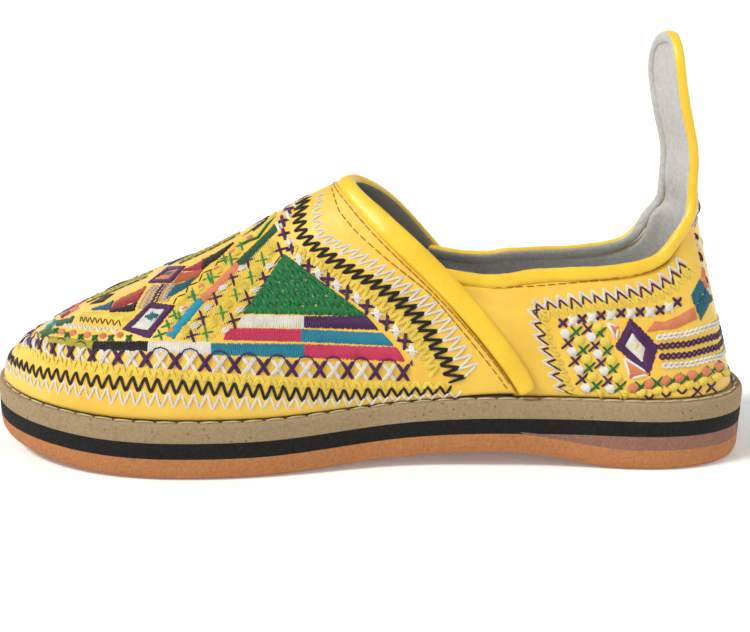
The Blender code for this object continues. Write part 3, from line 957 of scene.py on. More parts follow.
def pixel_pitch(middle, way, wanted=SATIN_STEP):
    """Pixels along a way that cover a length on the surface, kept to what threads can stand."""
    a, b = on_surface(*(middle - way)), on_surface(*(middle + way))
    if not a or not b or a[0] != b[0]:
        return PITCH
    sheet = SHEETS[a[0], 1]
    gap = np.linalg.norm(sheet.at(*b[1:])[0] - sheet.at(*a[1:])[0])
    return float(np.clip(2 * wanted / gap, *PITCH_LIMITS))


def ways(slant):
    """Directions in the photograph along and across a slant in degrees."""
    turn = math.radians(slant)
    return np.array([math.cos(turn), math.sin(turn)]), np.array([-math.sin(turn), math.cos(turn)])


def fill(colour, corners, slant, step=1.0, longest=26.0, radius=SATIN_FLOSS, height=SATIN):
    """Satin over a polygon of pixels, its threads at a slant in degrees, long ones broken at random."""
    corners = np.array(corners, float)
    along, across = ways(slant)
    spread = corners @ across
    step *= pixel_pitch(corners.mean(0), across)
    at = spread.min() + step / 2
    while at < spread.max():
        cuts = []
        for a, b in zip(corners, np.roll(corners, -1, axis=0)):
            from_a, from_b = a @ across - at, b @ across - at
            if from_a * from_b < 0:
                cuts.append((a + (b - a) * from_a / (from_a - from_b)) @ along)
        cuts.sort()
        for low, high in zip(cuts[::2], cuts[1::2]):
            low, high = low - random.uniform(0, RAGGED), high + random.uniform(0, RAGGED)
            pieces = max(1, math.ceil((high - low) / longest))
            ends = [low + (high - low) * k / pieces for k in range(pieces + 1)]
            ends[1:-1] = [e + random.uniform(-BREAK, BREAK) for e in ends[1:-1]]
            for c, d in zip(ends, ends[1:]):
                points = [along * (c + (d - c) * t) + across * at for t in (0, 0.5, 1)]
                pixel_thread(colour, points, radius, height=height)
        at += step


def frame_fill(colour, corners, inner):
    """Satin across a frame, from the outer corners to the inner ones."""
    corners, inner = np.array(corners, float), np.array(inner, float)
    for a, b, c, d in zip(corners, np.roll(corners, -1, axis=0), inner, np.roll(inner, -1, axis=0)):
        reach = np.linalg.norm(b - a)
        count = max(2, int(reach / pixel_pitch((a + b) / 2, (b - a) / reach)))
        for s in range(count):
            t = (s + 0.5) / count
            outer, near = a + (b - a) * t, c + (d - c) * t
            outer = outer + (outer - near) * random.uniform(*FRAME_SCATTER)
            pixel_thread(colour, [outer, near], BLOCK_FLOSS, height=SATIN)


def cross_at(colour, x, y, wide, tall, slant=0.0, radius=FINE_FLOSS):
    """A cross at a pixel, with two threads to each arm."""
    along, across = ways(slant)
    middle = np.array([x, y])
    for way, aside, lift in ((along * wide, across, PLAIN), (across * tall, along, OVER)):
        for shift in (-radius * PIXEL_ARM, radius * PIXEL_ARM):
            start = middle + aside * shift
            pixel_thread(colour, [start - way, start, start + way], radius, height=lift)


def blob(colour, x, y, length, slant, count=4, step=1.3, radius=BLOCK_FLOSS):
    """A short block of satin at a pixel."""
    along, across = ways(slant)
    wide = (count - 1) * step
    count = max(count - 1, 1 + round(wide / pixel_pitch(np.array([x, y]), across)))
    for k in range(count):
        off = k / (count - 1) - 0.5 if count > 1 else 0.0
        middle = np.array([x, y]) + across * off * wide
        reach = along * length / 2 * (1 - ROUNDED * off * off)
        pixel_thread(colour, [middle - reach, middle + reach], radius, height=BLOCK)


def embroider(table):
    """Works a table's rows: what to draw, its colour, its pixels, and its sizes in the order that it takes them."""
    for draw, colour, pixels, *sizes in table:
        if draw in (cross_at, blob):
            for x, y in pixels:
                draw(colour, x, y, *sizes)
        else:
            draw(colour, pixels, *sizes)


# Embroidery, placed by pixels of the photograph

# Rows along the sole: across, then the upper and the lower end down the photograph
SOLE_YELLOW = (
    (24, 341, 353), (50, 352, 366), (100, 360, 374), (153, 368, 380), (200, 371, 383), (250, 375, 387),
    (300, 378, 390), (350, 380, 391), (400, 381, 391), (446, 382, 389),
)
SOLE_BLACK = (
    (14, 356, 367), (36, 365, 378), (71, 371, 385), (112, 375, 391), (153, 378, 394), (200, 380, 395),
    (250, 383, 399), (300, 387, 402), (350, 389, 402), (400, 387, 397), (455, 386, 394),
)
SOLE_WHITE = (
    (14, 366, 376), (36, 376, 390), (71, 382, 396), (112, 389, 404), (153, 392, 408), (200, 394, 410),
    (250, 396, 410), (300, 397, 409), (350, 396, 407), (400, 394, 401), (462, 391, 397),
)
SOLE_CROSSED = (
    (27, 333, 349), (42, 338, 354), (57, 341, 358), (73, 344, 362), (92, 347, 365), (131, 349, 367),
    (153, 351, 369), (200, 353, 372), (248, 357, 375), (301, 360, 378), (354, 361, 380), (412, 364, 382),
)
# Rows along the throat: across and down for the inner end, then for the outer end
THROAT_BLACK = (
    (296, 200, 313, 193), (291, 222, 306, 214), (297, 240, 307, 229), (311, 253, 322, 243), (330, 266, 342, 257),
    (352, 279, 364, 270), (374, 293, 388, 283), (394, 308, 408, 297), (408, 321, 424, 311), (420, 338, 438, 332),
    (430, 354, 448, 350), (440, 368, 458, 366), (449, 383, 468, 381),
)
THROAT_WHITE = (
    (317, 195, 326, 192), (311, 214, 322, 208), (313, 238, 324, 229), (325, 247, 336, 237), (338, 254, 348, 243),
    (356, 264, 366, 252), (371, 274, 382, 262), (385, 283, 396, 270), (400, 295, 412, 282), (415, 307, 428, 294),
    (428, 319, 443, 306), (440, 336, 456, 325), (448, 351, 464, 341), (456, 365, 472, 355), (465, 381, 482, 371),
)
THROAT_YELLOW = (
    (290, 254, 296, 244), (300, 262, 310, 250), (330, 280, 338, 268), (355, 297, 364, 282), (378, 312, 388, 297),
    (396, 326, 408, 314), (410, 342, 424, 333), (420, 360, 434, 352), (430, 378, 443, 370),
)
SEWN = (
    (331, 188), (338, 211), (355, 232), (371, 246.5), (389, 262), (428, 292.5), (450, 316), (473, 338),
    (492, 357), (509, 393),
)
# Sewing stitches: length and gap in millimetres
SEWN_STITCH, SEWN_GAP = 2.2, 0.35
# Bars: the ends of the upper edge, then those of the lower one
BARS = (
    ("white", (243, 315), (304, 316), (237, 327), (304, 328)),
    ("purple", (304, 316), (366, 316), (304, 328), (379, 330)),
    ("pink", (229, 328), (301, 329), (223, 340), (301, 342)),
    ("blue", (301, 329), (382, 333), (301, 342), (394, 346)),
    ("blue", (211, 343), (304, 344), (211, 355), (304, 358)),
    ("pink", (304, 344), (396, 347), (304, 358), (406, 362)),
    ("white", (148, 341), (211, 342), (148, 352), (211, 354)),
    ("black", (94, 341), (148, 341), (92, 351), (148, 351)),
    ("olive", (50, 336), (94, 341), (48, 344), (93, 350)),
)
TRIANGLE = ((284, 254), (244, 313), (366, 316))
TRIANGLE_PURPLE = ((308.5, 266), (328, 279), (347.5, 291.5), (367, 306), (387, 322), (405, 341))
TRIANGLE_WHITE = ((299, 259), (318, 273), (337, 285), (357, 298), (377, 314), (396, 331), (412, 351))


def rows_along_sole():
    for colour, table, strokes in (
        ("yellow", SOLE_YELLOW, ((0.3, 0.0, 0.55), (0.22, 0.5, 0))),
        ("black", SOLE_BLACK, ((0.23, 0.0, 0.36),)),
        ("white", SOLE_WHITE, ((0.19, 0.7, 0.26),)),
    ):
        table = np.array(table)
        row = pixel_ribbon(table[:, :2], table[:, ::2], ahead=0.0)
        for radius, start, apart in strokes:
            row.zigzag(colour, 2.85, radius, start, apart)
    table = np.array(SOLE_CROSSED)
    row = pixel_ribbon(table[:, :2], table[:, ::2], ahead=0.0)
    row.crosses(["purple", "white"], 3.3, 1.45, start=1.2, radius=0.27, loops="purple")


def rows_along_throat():
    for colour, table, strokes in (
        ("black", THROAT_BLACK, ((0.26, 0.0, 0.38),)),
        ("white", THROAT_WHITE, ((0.19, 0.0, 0.26),)),
        ("yellow", THROAT_YELLOW, ((0.28, 0.0, 0.5), (0.22, 0.4, 0))),
    ):
        table = np.array(table)
        row = pixel_ribbon(table[:, :2], table[:, 2:])
        for radius, start, apart in strokes:
            row.zigzag(colour, 2.5, radius, start, apart)
    pixel_ribbon(SEWN, np.array(SEWN) + [1, -1]).running("brown", SEWN_STITCH, SEWN_GAP, SEWING_THREAD)


rows_along_sole()
rows_along_throat()
for colour, *ends in BARS:
    pixel_ribbon(ends[:2], ends[2:]).satin(colour)
embroider((
    (fill, "green", TRIANGLE, 62, 0.95, 13.0, 0.33),
    (fill, "light_green", TRIANGLE, 60, 2.4, 11.0, 0.3),
    (fill, "dark_green", TRIANGLE, 66, 3.4, 9.0, 0.32),
))


# Its specks: how many, where they start across and down, the step and the span over which they hop each way,
# and the pixel between its two slanting edges, with their slopes
SPECKS, SPECK_HOPS = 26, ((262, 37, 84), (276, 23, 36))
SPECK_TOP, SPECK_SLOPES = (288, 262), (0.5, 1.2)


def triangle_specks():
    """Yellow stitches scattered over the green triangle, between its two slanting edges."""
    for k in range(SPECKS):
        x, y = (start + (k * step) % span for start, step, span in SPECK_HOPS)
        across, down = x - SPECK_TOP[0], y - SPECK_TOP[1]
        if abs(across) < down * SPECK_SLOPES[across >= 0]:
            blob("yellow", x, y, 3.4, 66, 1, 1.3, 0.2)


triangle_specks()
embroider((
    (cross_at, "purple", TRIANGLE_PURPLE, 8.5, 9.5, 5),
    (blob, "white", TRIANGLE_WHITE, 16, 82, 3, 1.7),
    (joined, "purple", [(x + 3, y + 7) for x, y in TRIANGLE_PURPLE], 0.17),
    (cross_at, "purple", ((292, 249), (284, 234), (283, 221), (289, 209)), 7, 6.5, -15),
    (cross_at, "white", ((289, 242), (278, 226), (288, 215), (294, 203)), 5, 5, -15),
))
for x, y in TRIANGLE_WHITE:
    pixel_thread("white", [(x - 7, y - 1), (x + 7, y + 1)], BLOCK_FLOSS, height=OVER)

# Crosses and small blocks between the slanting bar and the triangle
LATTICE_GROUND = ((203, 304), (238, 268), (270, 238), (281, 246), (243, 312), (226, 329), (212, 341), (180, 339))
LATTICE_FIRST = ((247, 261), (232, 278), (215, 298), (202, 318), (192, 336))
LATTICE_SECOND = ((280, 250), (264, 278), (248, 299), (233, 321))
LATTICE_GREEN = (
    (263, 260), (251, 277), (236, 295), (222, 313), (206, 333), (231, 260), (212, 278), (194, 296), (180, 318),
)
LATTICE_WHITE = (
    (256, 290), (270, 266), (240, 310), (226, 330), (223, 288), (242, 268), (208, 308), (195, 326), (184, 309),
)
LATTICE_YELLOW = (
    (258, 272), (244, 286), (228, 304), (213, 323), (269, 251), (200, 287), (218, 270), (186, 330), (236, 252),
)
embroider((
    (fill, "yellow", LATTICE_GROUND, 66, 1.25, 9.0, 0.2, 0.25),
    (cross_at, "purple", LATTICE_FIRST + LATTICE_SECOND, 10, 9, -18, 0.18),
    (cross_at, "light_green", LATTICE_GREEN, 9, 9, -12, 0.14),
    (blob, "white", LATTICE_WHITE, 14, -24, 4, 1.2, 0.23),
    (blob, "yellow", LATTICE_YELLOW, 13, -24, 6, 1.3, 0.23),
))
for line in (LATTICE_FIRST, LATTICE_SECOND):
    for a, b in zip(line, line[1:]):
        pixel_thread("purple", [(a[0] + 2, a[1] + 4), (b[0] + 3, b[1] - 4)], 0.15)

# The slanting bar with the crosses, dots and steps on its toe side
BAR_GREEN = ((175, 315), (184, 322), (160, 335), (193, 296), (209, 278), (225, 260), (241, 245), (168, 325))
BAR_SALMON = ((185, 309), (171, 331), (201, 287), (217, 269), (233, 252), (250, 238))
BAR_STEPS = (
    (173, 305), (177, 297), (186, 294), (188, 286), (199, 282), (203, 273), (214, 269), (219, 260), (229, 256),
)
SLANTING_BAR = (
    (fill, "cyan", ((197, 299), (205, 302), (174, 338), (165, 336)), 10),
    (fill, "salmon", ((236, 262), (242, 268), (206, 302), (198, 299)), 12),
    (fill, "dark_green", ((274, 225), (279, 229), (243, 268), (236, 262)), 12),
    (cross_at, "light_green", BAR_GREEN, 8, 6, -20, 0.15),
    (blob, "salmon", BAR_SALMON, 5, 60),
    (joined, "black", BAR_STEPS, 0.16),
)
embroider(SLANTING_BAR)

# Olive bands along the ridge: where each starts and ends along the vamp, and their edges between sole and ridge
RIDGE_BANDS = ((0.12, 0.45), (0.55, 0.72))
BAND_LOW, BAND_HIGH = 0.955, 0.995


def ridge_bands():
    for ends in RIDGE_BANDS:
        along = np.linspace(*ends, 20)
        low, high = (np.column_stack([along, np.full(20, v)]) for v in (BAND_LOW, BAND_HIGH))
        Ribbon("vamp", low, high).zigzag("olive", 1.3, 0.26)
        edge = Ribbon("vamp", low, low)
        edge.running("dark_green", 1.8, 0.2, 0.26)
        edge.running("black", 3.0, 1.2, 0.16)


# Kites, diamonds and leaf of the ridge, from the toe up
SIDE_FRAME = ((151, 302), (175, 306), (149, 338.5), (122.5, 329))
SIDE_INNER = ((150, 308), (164, 310.5), (148, 330), (132.5, 328))
MIDDLE_FRAME = ((148, 283), (168, 267), (186, 266), (171, 283))
MIDDLE_INNER = ((155, 280), (168, 271), (178, 270), (168, 279))
FRONT_YELLOW = ((79, 317), (84, 312), (110, 313), (135, 312), (128, 322), (100, 319))
BACK_YELLOW = (
    (176, 305), (186, 293), (203, 281), (222, 263), (238, 247), (243, 252), (226, 267), (204, 292), (180, 318),
    (168, 330),
)
RIDGE_FRONT = (
    (fill, "black", ((88, 305), (100, 299), (116, 293), (103, 302)), -20),
    (fill, "teal", ((92, 309.5), (113.6, 301), (109, 310)), 70),
    (fill, "rust", ((114, 305), (118, 300), (146, 287), (143, 292)), 75),
    (fill, "crimson", ((110, 310), (115, 304), (143, 292), (138, 301)), 75),
    (fill, "black", ((110, 311.5), (137, 302), (134, 311.5)), 80),
    (fill, "yellow", FRONT_YELLOW, 65, 1.0, 26.0, SATIN_FLOSS, 0.3),
    (frame_fill, "purple", SIDE_FRAME, SIDE_INNER),
    (fill, "white", SIDE_INNER, 75),
    (fill, "teal", ((145, 317), (152, 310.5), (158.5, 316), (151, 324)), 75, 1.0, 26.0, 0.34),
    (frame_fill, "purple", MIDDLE_FRAME, MIDDLE_INNER),
    (fill, "salmon", MIDDLE_INNER, 75),
    (fill, "teal", ((163, 276), (168, 272.5), (173, 273), (168, 277)), 75, 1.0, 26.0, 0.34),
)
# Chains from the side diamond up to the middle one: colour, the two edges, and the length of a loop
RIDGE_CHAINS = (
    ("beige", ((137, 309), (146, 293), (155, 284)), ((143, 309), (151, 293), (159, 284)), 1.0),
    ("beige", ((143, 309), (151, 293), (159, 284)), ((149, 307), (156, 293), (163, 284)), 1.0),
    ("purple", ((150, 304), (156, 293), (163, 284)), ((158, 302), (163, 291), (169, 284)), 1.3),
    ("beige", ((158, 302), (163, 291), (168, 284)), ((163, 302), (168, 291), (172, 284)), 1.0),
    ("beige", ((163, 302), (168, 291), (172, 284)), ((168, 302), (173, 290), (176, 283)), 1.0),
)
RIDGE_BACK = (
    (fill, "teal", ((167, 298.6), (173, 286), (195.5, 278), (186, 288)), 60),
    (fill, "rust", ((173.6, 284), (179, 273), (202, 270.5), (197, 278)), 70),
    (fill, "crimson", ((183, 271), (204.5, 259), (202, 270.5)), 70),
    (fill, "black", ((202, 269.5), (204.5, 259), (233.6, 243), (219, 258)), 70),
    (fill, "yellow", BACK_YELLOW, 60, 1.2, 9.0, 0.2, 0.25),
    (fill, "yellow", ((236, 243), (252, 226), (276, 213), (262, 232), (246, 243)), 50),
    (fill, "black", ((243, 237), (256, 226), (268, 219), (258, 231)), 50),
    (pixel_thread, "green", ((234, 243), (250, 224), (277, 211)), 0.4),
    (pixel_thread, "green", ((236, 246), (258, 238), (279, 213)), 0.4),
)
ridge_bands()
embroider(RIDGE_FRONT)
for colour, outer, near, period in RIDGE_CHAINS:
    pixel_ribbon(outer, near).chain(colour, period)
embroider(RIDGE_BACK)

# Small motifs on the toe
TOE_BLACK = ((80, 315), (100, 317), (124, 320)), ((80, 322), (100, 324), (122, 327))
TOE_WHITE = ((64, 322), (90, 326), (121, 327)), ((64, 327), (90, 331), (119, 333))
TOE = (
    (blob, "salmon", ((62, 332), (73, 333), (87.5, 335), (103, 336), (120, 335)), 6, 80),
    (cross_at, "green", ((56, 331), (67.5, 335), (81, 337), (95, 338), (111, 338), (129, 338)), 4, 4.5, 45, 0.2),
    (fill, "green", ((40, 331), (51, 325), (53, 333), (42, 338)), 60),
    (fill, "cyan", ((45, 323), (56, 316), (55, 325), (47, 329)), 60),
    (fill, "dark_green", ((55, 321), (74, 317), (71, 324), (57, 326)), 70),
    (fill, "salmon", ((72, 306), (82, 301), (80, 308), (72, 312)), 70),
    (fill, "crimson", ((62, 312), (72, 306), (71, 313), (62, 318)), 70),
)
pixel_ribbon(*TOE_BLACK).zigzag("black", 2.0, 0.14, apart=0)
pixel_ribbon(*TOE_WHITE).zigzag("white", 2.2, 0.2)
embroider(TOE)

# Border of the quarter: the two edges of its row along the top and of its row down the front
TOP_UPPER = ((527, 300), (558, 294), (591, 290), (625, 285), (651, 278), (668, 267), (681, 251))
TOP_LOWER = ((533, 310), (560, 306), (592, 302), (626, 297), (654, 290), (674, 279), (689, 262))
FRONT_OUTER = ((526, 302), (528, 320), (534, 340), (541, 358), (547, 373), (556, 394))
FRONT_INNER = ((537, 308), (539, 328), (546, 346), (554, 362), (560, 379), (569, 394))
# Each of its colours: how far it moves in, the lengths of its strokes on the top and the front, and the thread
BORDER = (("white", 0.0, 2.9, 3.2, 0.17), ("purple", 0.85, 2.9, 3.2, 0.15), ("yellow", 2.0, 2.2, 2.2, 0.22))
TOP_MOVE, FRONT_MOVE = np.array([3.5, 5.5]), np.array([6.0, 1.5])
for colour, shift, top_period, front_period, radius in BORDER:
    for edges, move, period in (
        ((TOP_UPPER, TOP_LOWER), TOP_MOVE, top_period), ((FRONT_OUTER, FRONT_INNER), FRONT_MOVE, front_period),
    ):
        pixel_ribbon(*(edge + move * shift for edge in edges), kind="quarter").zigzag(colour, period, radius)

# Crosses and blocks of the quarter
BORDER_PURPLE = ((563, 323), (582, 319), (601, 315.5), (621, 313), (640, 312), (660, 310), (677, 302))
BORDER_WHITE = ((573, 321), (592, 317.5), (611, 315), (631, 313), (650, 312), (669, 307))
QUARTER_WHITE = ((565, 334), (572, 352), (579, 370), (586, 388), (591, 337), (598, 354), (604, 371), (610, 389))
QUARTER_PURPLE = ((568, 343), (575, 361), (582, 379), (588, 329), (595, 346), (601, 363), (608, 381))
QUARTER_YELLOW = (
    (579, 341), (586, 359), (592, 377), (598, 394), (597, 327), (605, 342), (611, 360), (617, 378), (623, 394),
)
QUARTER_GREEN = ((576, 332), (583, 350), (589, 368), (596, 386), (600, 333), (607, 351), (613, 369), (620, 387))
# Its diamond, with a small triangle above and below
DIAMOND_FRAME = ((630, 318), (658, 346), (650, 376), (615, 347))
DIAMOND_INNER = ((632, 334), (645, 348), (642, 362), (625, 346))
UPPER_TRIANGLE = ((607, 323), (618, 327), (616, 339), (607, 323))
LOWER_TRIANGLE = ((624, 358), (630, 379), (649, 374), (624, 358))
SALMON_BAND = ((648, 331), (655, 321), (664, 322), (678, 316), (693, 307), (697, 319), (676, 329))
QUARTER_MOTIFS = (
    (cross_at, "purple", BORDER_PURPLE, 6.5, 6.5, 45, 0.22),
    (cross_at, "white", BORDER_WHITE, 6.5, 6.5, 45, 0.27),
    (blob, "white", BORDER_WHITE, 9, 45),
    (blob, "white", QUARTER_WHITE, 11, 60, 6),
    (cross_at, "purple", QUARTER_PURPLE, 8.5, 9, 48, 0.17),
    (blob, "yellow", QUARTER_YELLOW, 11, 60, 7),
    (cross_at, "green", QUARTER_GREEN, 8.5, 9, 48, 0.17),
    (fill, "salmon", UPPER_TRIANGLE[:3], 60),
    (joined, "white", UPPER_TRIANGLE, FLOSS),
    (fill, "salmon", LOWER_TRIANGLE[:3], 60),
    (joined, "white", LOWER_TRIANGLE, FLOSS),
    (frame_fill, "purple", DIAMOND_FRAME, DIAMOND_INNER),
    (fill, "white", DIAMOND_INNER, 0),
    (blob, "yellow", ((636, 347),), 5, 30),
    (fill, "salmon", SALMON_BAND, 75),
)
# Chains from the diamond to the heel: colour and middle line
QUARTER_CHAINS = (
    ("white", ((656, 338), (686, 334), (715, 325))),
    ("purple", ((658, 347), (688, 344), (717, 336))),
    ("purple", ((659, 357), (688, 355), (718, 347))),
    ("white", ((662, 366), (690, 364), (721, 356))),
)
CHAIN_HALF_WIDTH, CHAIN_END = 2.6, 0.985
FOOT_SALMON = ((633, 388), (649, 384), (665, 381), (679, 378), (692, 375), (706, 372), (719, 367))
FOOT_YELLOW = ((641, 393), (657, 391), (673, 387), (689, 385), (703, 381), (716, 377), (726, 372))
FOOT_GREEN = ((641, 387), (657, 383), (672, 381), (686, 378), (699, 376), (712, 371), (724, 366))
FOOT_PURPLE = ((649, 399), (666, 397), (682, 394), (697, 391), (711, 387))
QUARTER_BACK = (
    (fill, "teal", ((691, 296), (700, 278), (712, 300), (701, 321)), 75),
    (fill, "salmon", ((702, 264), (709, 290), (712, 299), (701, 281)), 75),
    (blob, "salmon", FOOT_SALMON, 10, 65, 7),
    (blob, "yellow", FOOT_YELLOW, 10, 65, 7),
    (cross_at, "green", FOOT_GREEN, 8.5, 9, 42, 0.17),
    (cross_at, "purple", FOOT_PURPLE, 8, 7.5, 42, 0.17),
)
embroider(QUARTER_MOTIFS)
for colour, middle in QUARTER_CHAINS:
    edges = (np.array(middle) + [0, down] for down in (-CHAIN_HALF_WIDTH, CHAIN_HALF_WIDTH))
    pixel_ribbon(*edges, beyond=CHAIN_END).chain(colour, 1.5, 0.32)
embroider(QUARTER_BACK)

# Rows on the heel and the tab's outer face, which the photograph shows only at their edge, in (u, v) shares:
# the sheet, u of the lower and of the upper end of the first edge, the strip's width in u, and v of both ends
TAB_EDGE = ("tab", 0.09, 0.09, 0.15, 0.0, 0.93)
TAB_EDGE_INNER = ("tab", 0.16, 0.16, 0.15, 0.0, 0.93)
TAB_CROSSES = ("tab", 0.30, 0.30, 0.16, 0.0, 0.90)
SLOPE_CROSSES = ("quarter", 0.80, 0.845, 0.03, 0.60, 0.97)
HEEL_CHAIN = ("quarter", 0.985, 0.985, 0.013, 0.52, 0.95)
FOOT_CROSSES_LOW, FOOT_CROSSES_HIGH = ((0.84, 0.05), (0.99, 0.05)), ((0.84, 0.15), (0.99, 0.15))
# Threads in each half of a diamond up the middle of the heel and the tab, and the diamonds:
# sheet, v of the middle, colour, half height, half width
DIAMOND_ROWS = 10
HEEL_DIAMONDS = (
    ("tab", 0.10, "green", 0.055, 0.42),
    ("tab", 0.28, "salmon", 0.055, 0.42),
    ("tab", 0.46, "teal", 0.05, 0.42),
    ("tab", 0.62, "green", 0.045, 0.42),
    ("tab", 0.77, "pink", 0.04, 0.42),
    ("quarter", 0.88, "dark_green", 0.06, 0.035),
    ("quarter", 0.74, "salmon", 0.05, 0.03),
    ("quarter", 0.61, "teal", 0.05, 0.03),
)


def upright(kind, low_u, high_u, wide, low_v, high_v):
    """A ribbon that climbs a sheet."""
    return Ribbon(kind, [(low_u, low_v), (high_u, high_v)], [(low_u + wide, low_v), (high_u + wide, high_v)])


def heel_back():
    upright(*TAB_EDGE).zigzag("white", 2.9, 0.17, apart=0.24)
    upright(*TAB_EDGE_INNER).zigzag("purple", 2.9, 0.15, apart=0.2)
    for place in (TAB_CROSSES, SLOPE_CROSSES):
        upright(*place).crosses(["white", "purple"], 2.9, 1.1, start=1.2)
    upright(*HEEL_CHAIN).chain("purple", 1.5, 0.26)
    row = Ribbon("quarter", FOOT_CROSSES_LOW, FOOT_CROSSES_HIGH)
    row.crosses(["green", "purple"], 2.2, 0.9, start=1.0, radius=0.17)
    for kind, middle, colour, half, reach in HEEL_DIAMONDS:
        for k in range(-DIAMOND_ROWS, DIAMOND_ROWS + 1):
            width, height = reach * (1 - abs(k) / (DIAMOND_ROWS + 0.5)), middle + half * k / DIAMOND_ROWS
            lay(colour, kind, [(1.0 - width, height), (1.0, height)], BLOCK_FLOSS, height=0.8)


heel_back()


# The upper, with its outer leather and its suede lining

# Soft creases as pixel lines on the outer side: start x and y, end x and y, half width and depth in millimetres
CREASES = (
    (466, 291, 493, 305, 1.3, 0.40),
    (470, 287, 500, 296, 1.2, -0.22),
    (478, 304, 509, 312, 1.4, 0.38),
    (487, 317, 513, 330, 1.3, 0.26),
    (500, 300, 524, 292, 1.5, -0.20),
    (514, 322, 524, 352, 1.6, 0.22),
    (505, 344, 530, 372, 1.7, 0.30),
    (540, 278, 556, 290, 1.4, 0.20),
    (610, 284, 622, 279, 1.2, 0.18),
    (652, 276, 676, 262, 1.3, 0.30),
    (464, 386, 492, 393, 1.2, 0.30),
    (470, 378, 496, 384, 1.2, -0.18),
    (352, 214, 368, 222, 1.4, 0.24),
    (392, 262, 408, 284, 1.6, 0.20),
)
# How far the vamp's edge reaches past the solid's along the throat, by the row's share, and how far back it stretches
NEAR_REACH = curve(((0, 1.9), (0.3, 2.2), (0.45, 1.9), (0.6, 0.9), (0.8, 0.3), (1, 0.0)))
FAR_REACH = curve(((0, 1.9), (0.3, 2.6), (0.5, 3.4), (0.7, 3.6), (0.88, 2.0), (1, 0.0)))
STRETCHED = 14.0


def crease_depths(points):
    """How far each point sinks into the creases on both sides."""
    sunk = np.zeros(len(points))
    for x0, y0, x1, y1, width, depth in CREASES:
        ends = on_surface(x0, y0), on_surface(x1, y1)
        if None in ends or ends[0][0] != ends[1][0]:
            continue
        for side in (1, -1):
            a, b = (SHEETS[kind, side].at(u, v)[0] for kind, u, v in ends)
            share = np.clip((points - a) @ (b - a) / ((b - a) @ (b - a)), 0, 1)
            away = np.linalg.norm(points - a - share[:, None] * (b - a), axis=1)
            sunk += depth * np.exp(-((away / width) ** 2))
    return sunk


def smoothed(values, times):
    values = np.array(values, float)
    for _ in range(times):
        inner = (values[:-2] + values[1:-1] * 2 + values[2:]) / 4
        values = np.concatenate([values[:1], inner, values[-1:]])
    return values


def unit(vectors):
    return vectors / np.linalg.norm(vectors, axis=1)[:, None]


def edge_frames(skin, normals, path):
    """Along an edge of the skin, its points and the directions up off the leather and out past the edge."""
    points, known = np.array(path), np.array(skin.points)
    nearest = [int(np.argmin(np.linalg.norm(known - p, axis=1))) for p in points]
    ups = unit(smoothed(normals[nearest], 2))
    along = unit(np.gradient(points, axis=0))
    return points, ups, unit(smoothed(np.cross(ups, along), 2))


def throat_path(skin, normals):
    """The throat's edge from the inner side over the top to the outer side: points, ups, outs and reach."""
    points, ups, outs = edge_frames(skin, normals, [*rib(-1, 1.0), *rib(1, 1.0)[-2::-1]])
    half = (len(points) - 1) / 2
    reach = [FAR_REACH(s / half) if s < half else NEAR_REACH(2 - s / half) for s in range(len(points))]
    return points, ups, outs, np.array(reach)


def vamp_reach(skin, normals):
    """The same stretch for every point of the skin, fading away from the edge."""
    path, _, outs, reach = throat_path(skin, normals)
    moved = np.zeros((len(skin.points), 3))
    for v, point in enumerate(np.array(skin.points)):
        away = np.linalg.norm(path - point, axis=1)
        k = int(np.argmin(away))
        moved[v] = outs[k] * reach[k] * max(0.0, 1 - away[k] / STRETCHED)
    return moved


def upper_piece():
    skin = Skin()
    for side in (1, -1):
        for kind, rows in grids(side).items():
            skin.grid(rows, "vamp" if kind == "vamp" else "quarter", side < 0)
    points, normals = np.array(skin.points), skin.normals()
    moved = vamp_reach(skin, normals)
    points = points - normals * crease_depths(points)[:, None]
    of_quarter = {v for face, layer in skin.faces if layer == "quarter" for v in face}
    vertices = list(points - normals * QUARTER_WALL)
    for v in set(range(len(points))) - of_quarter:
        vertices[v] = vertices[v] + moved[v]
    outer, edges, faces, which = {}, {}, [], []
    for face, layer in skin.faces:
        for v in face:
            if (v, layer) not in outer:
                outer[v, layer] = len(vertices)
                raised = normals[v] * VAMP_STEP + moved[v] if layer == "vamp" else 0.0
                vertices.append(points[v] + raised)
    for face, layer in skin.faces:
        faces += [[outer[v, layer] for v in face], face[::-1]]
        # The vamp's inner faces take the near-black suede that is painted shade
        which += [0, 1 if layer == "quarter" else 2]
        for a, b in zip(face, face[1:] + face[:1]):
            edges.setdefault((min(a, b), max(a, b)), []).append((a, b, layer))
    for (a, b, layer), *others in edges.values():
        if not others:
            faces.append([outer[a, layer], a, b, outer[b, layer]])
        elif others[0][2] != layer:
            other = others[0][2]
            faces.append([outer[b, layer], outer[a, layer], outer[a, other], outer[b, other]])
    which += [0] * (len(faces) - len(which))
    piece = new_piece("upper_leather", vertices, faces, [MATERIALS[m] for m in ("upper", "lining", "shade")], which)
    subdivide(piece)
    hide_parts("upper")
    return skin, normals


# Part of a folded edge's section, as a share of one turn, that the lining's suede covers
LINED_FROM, LINED_TO = 0.55, 0.88


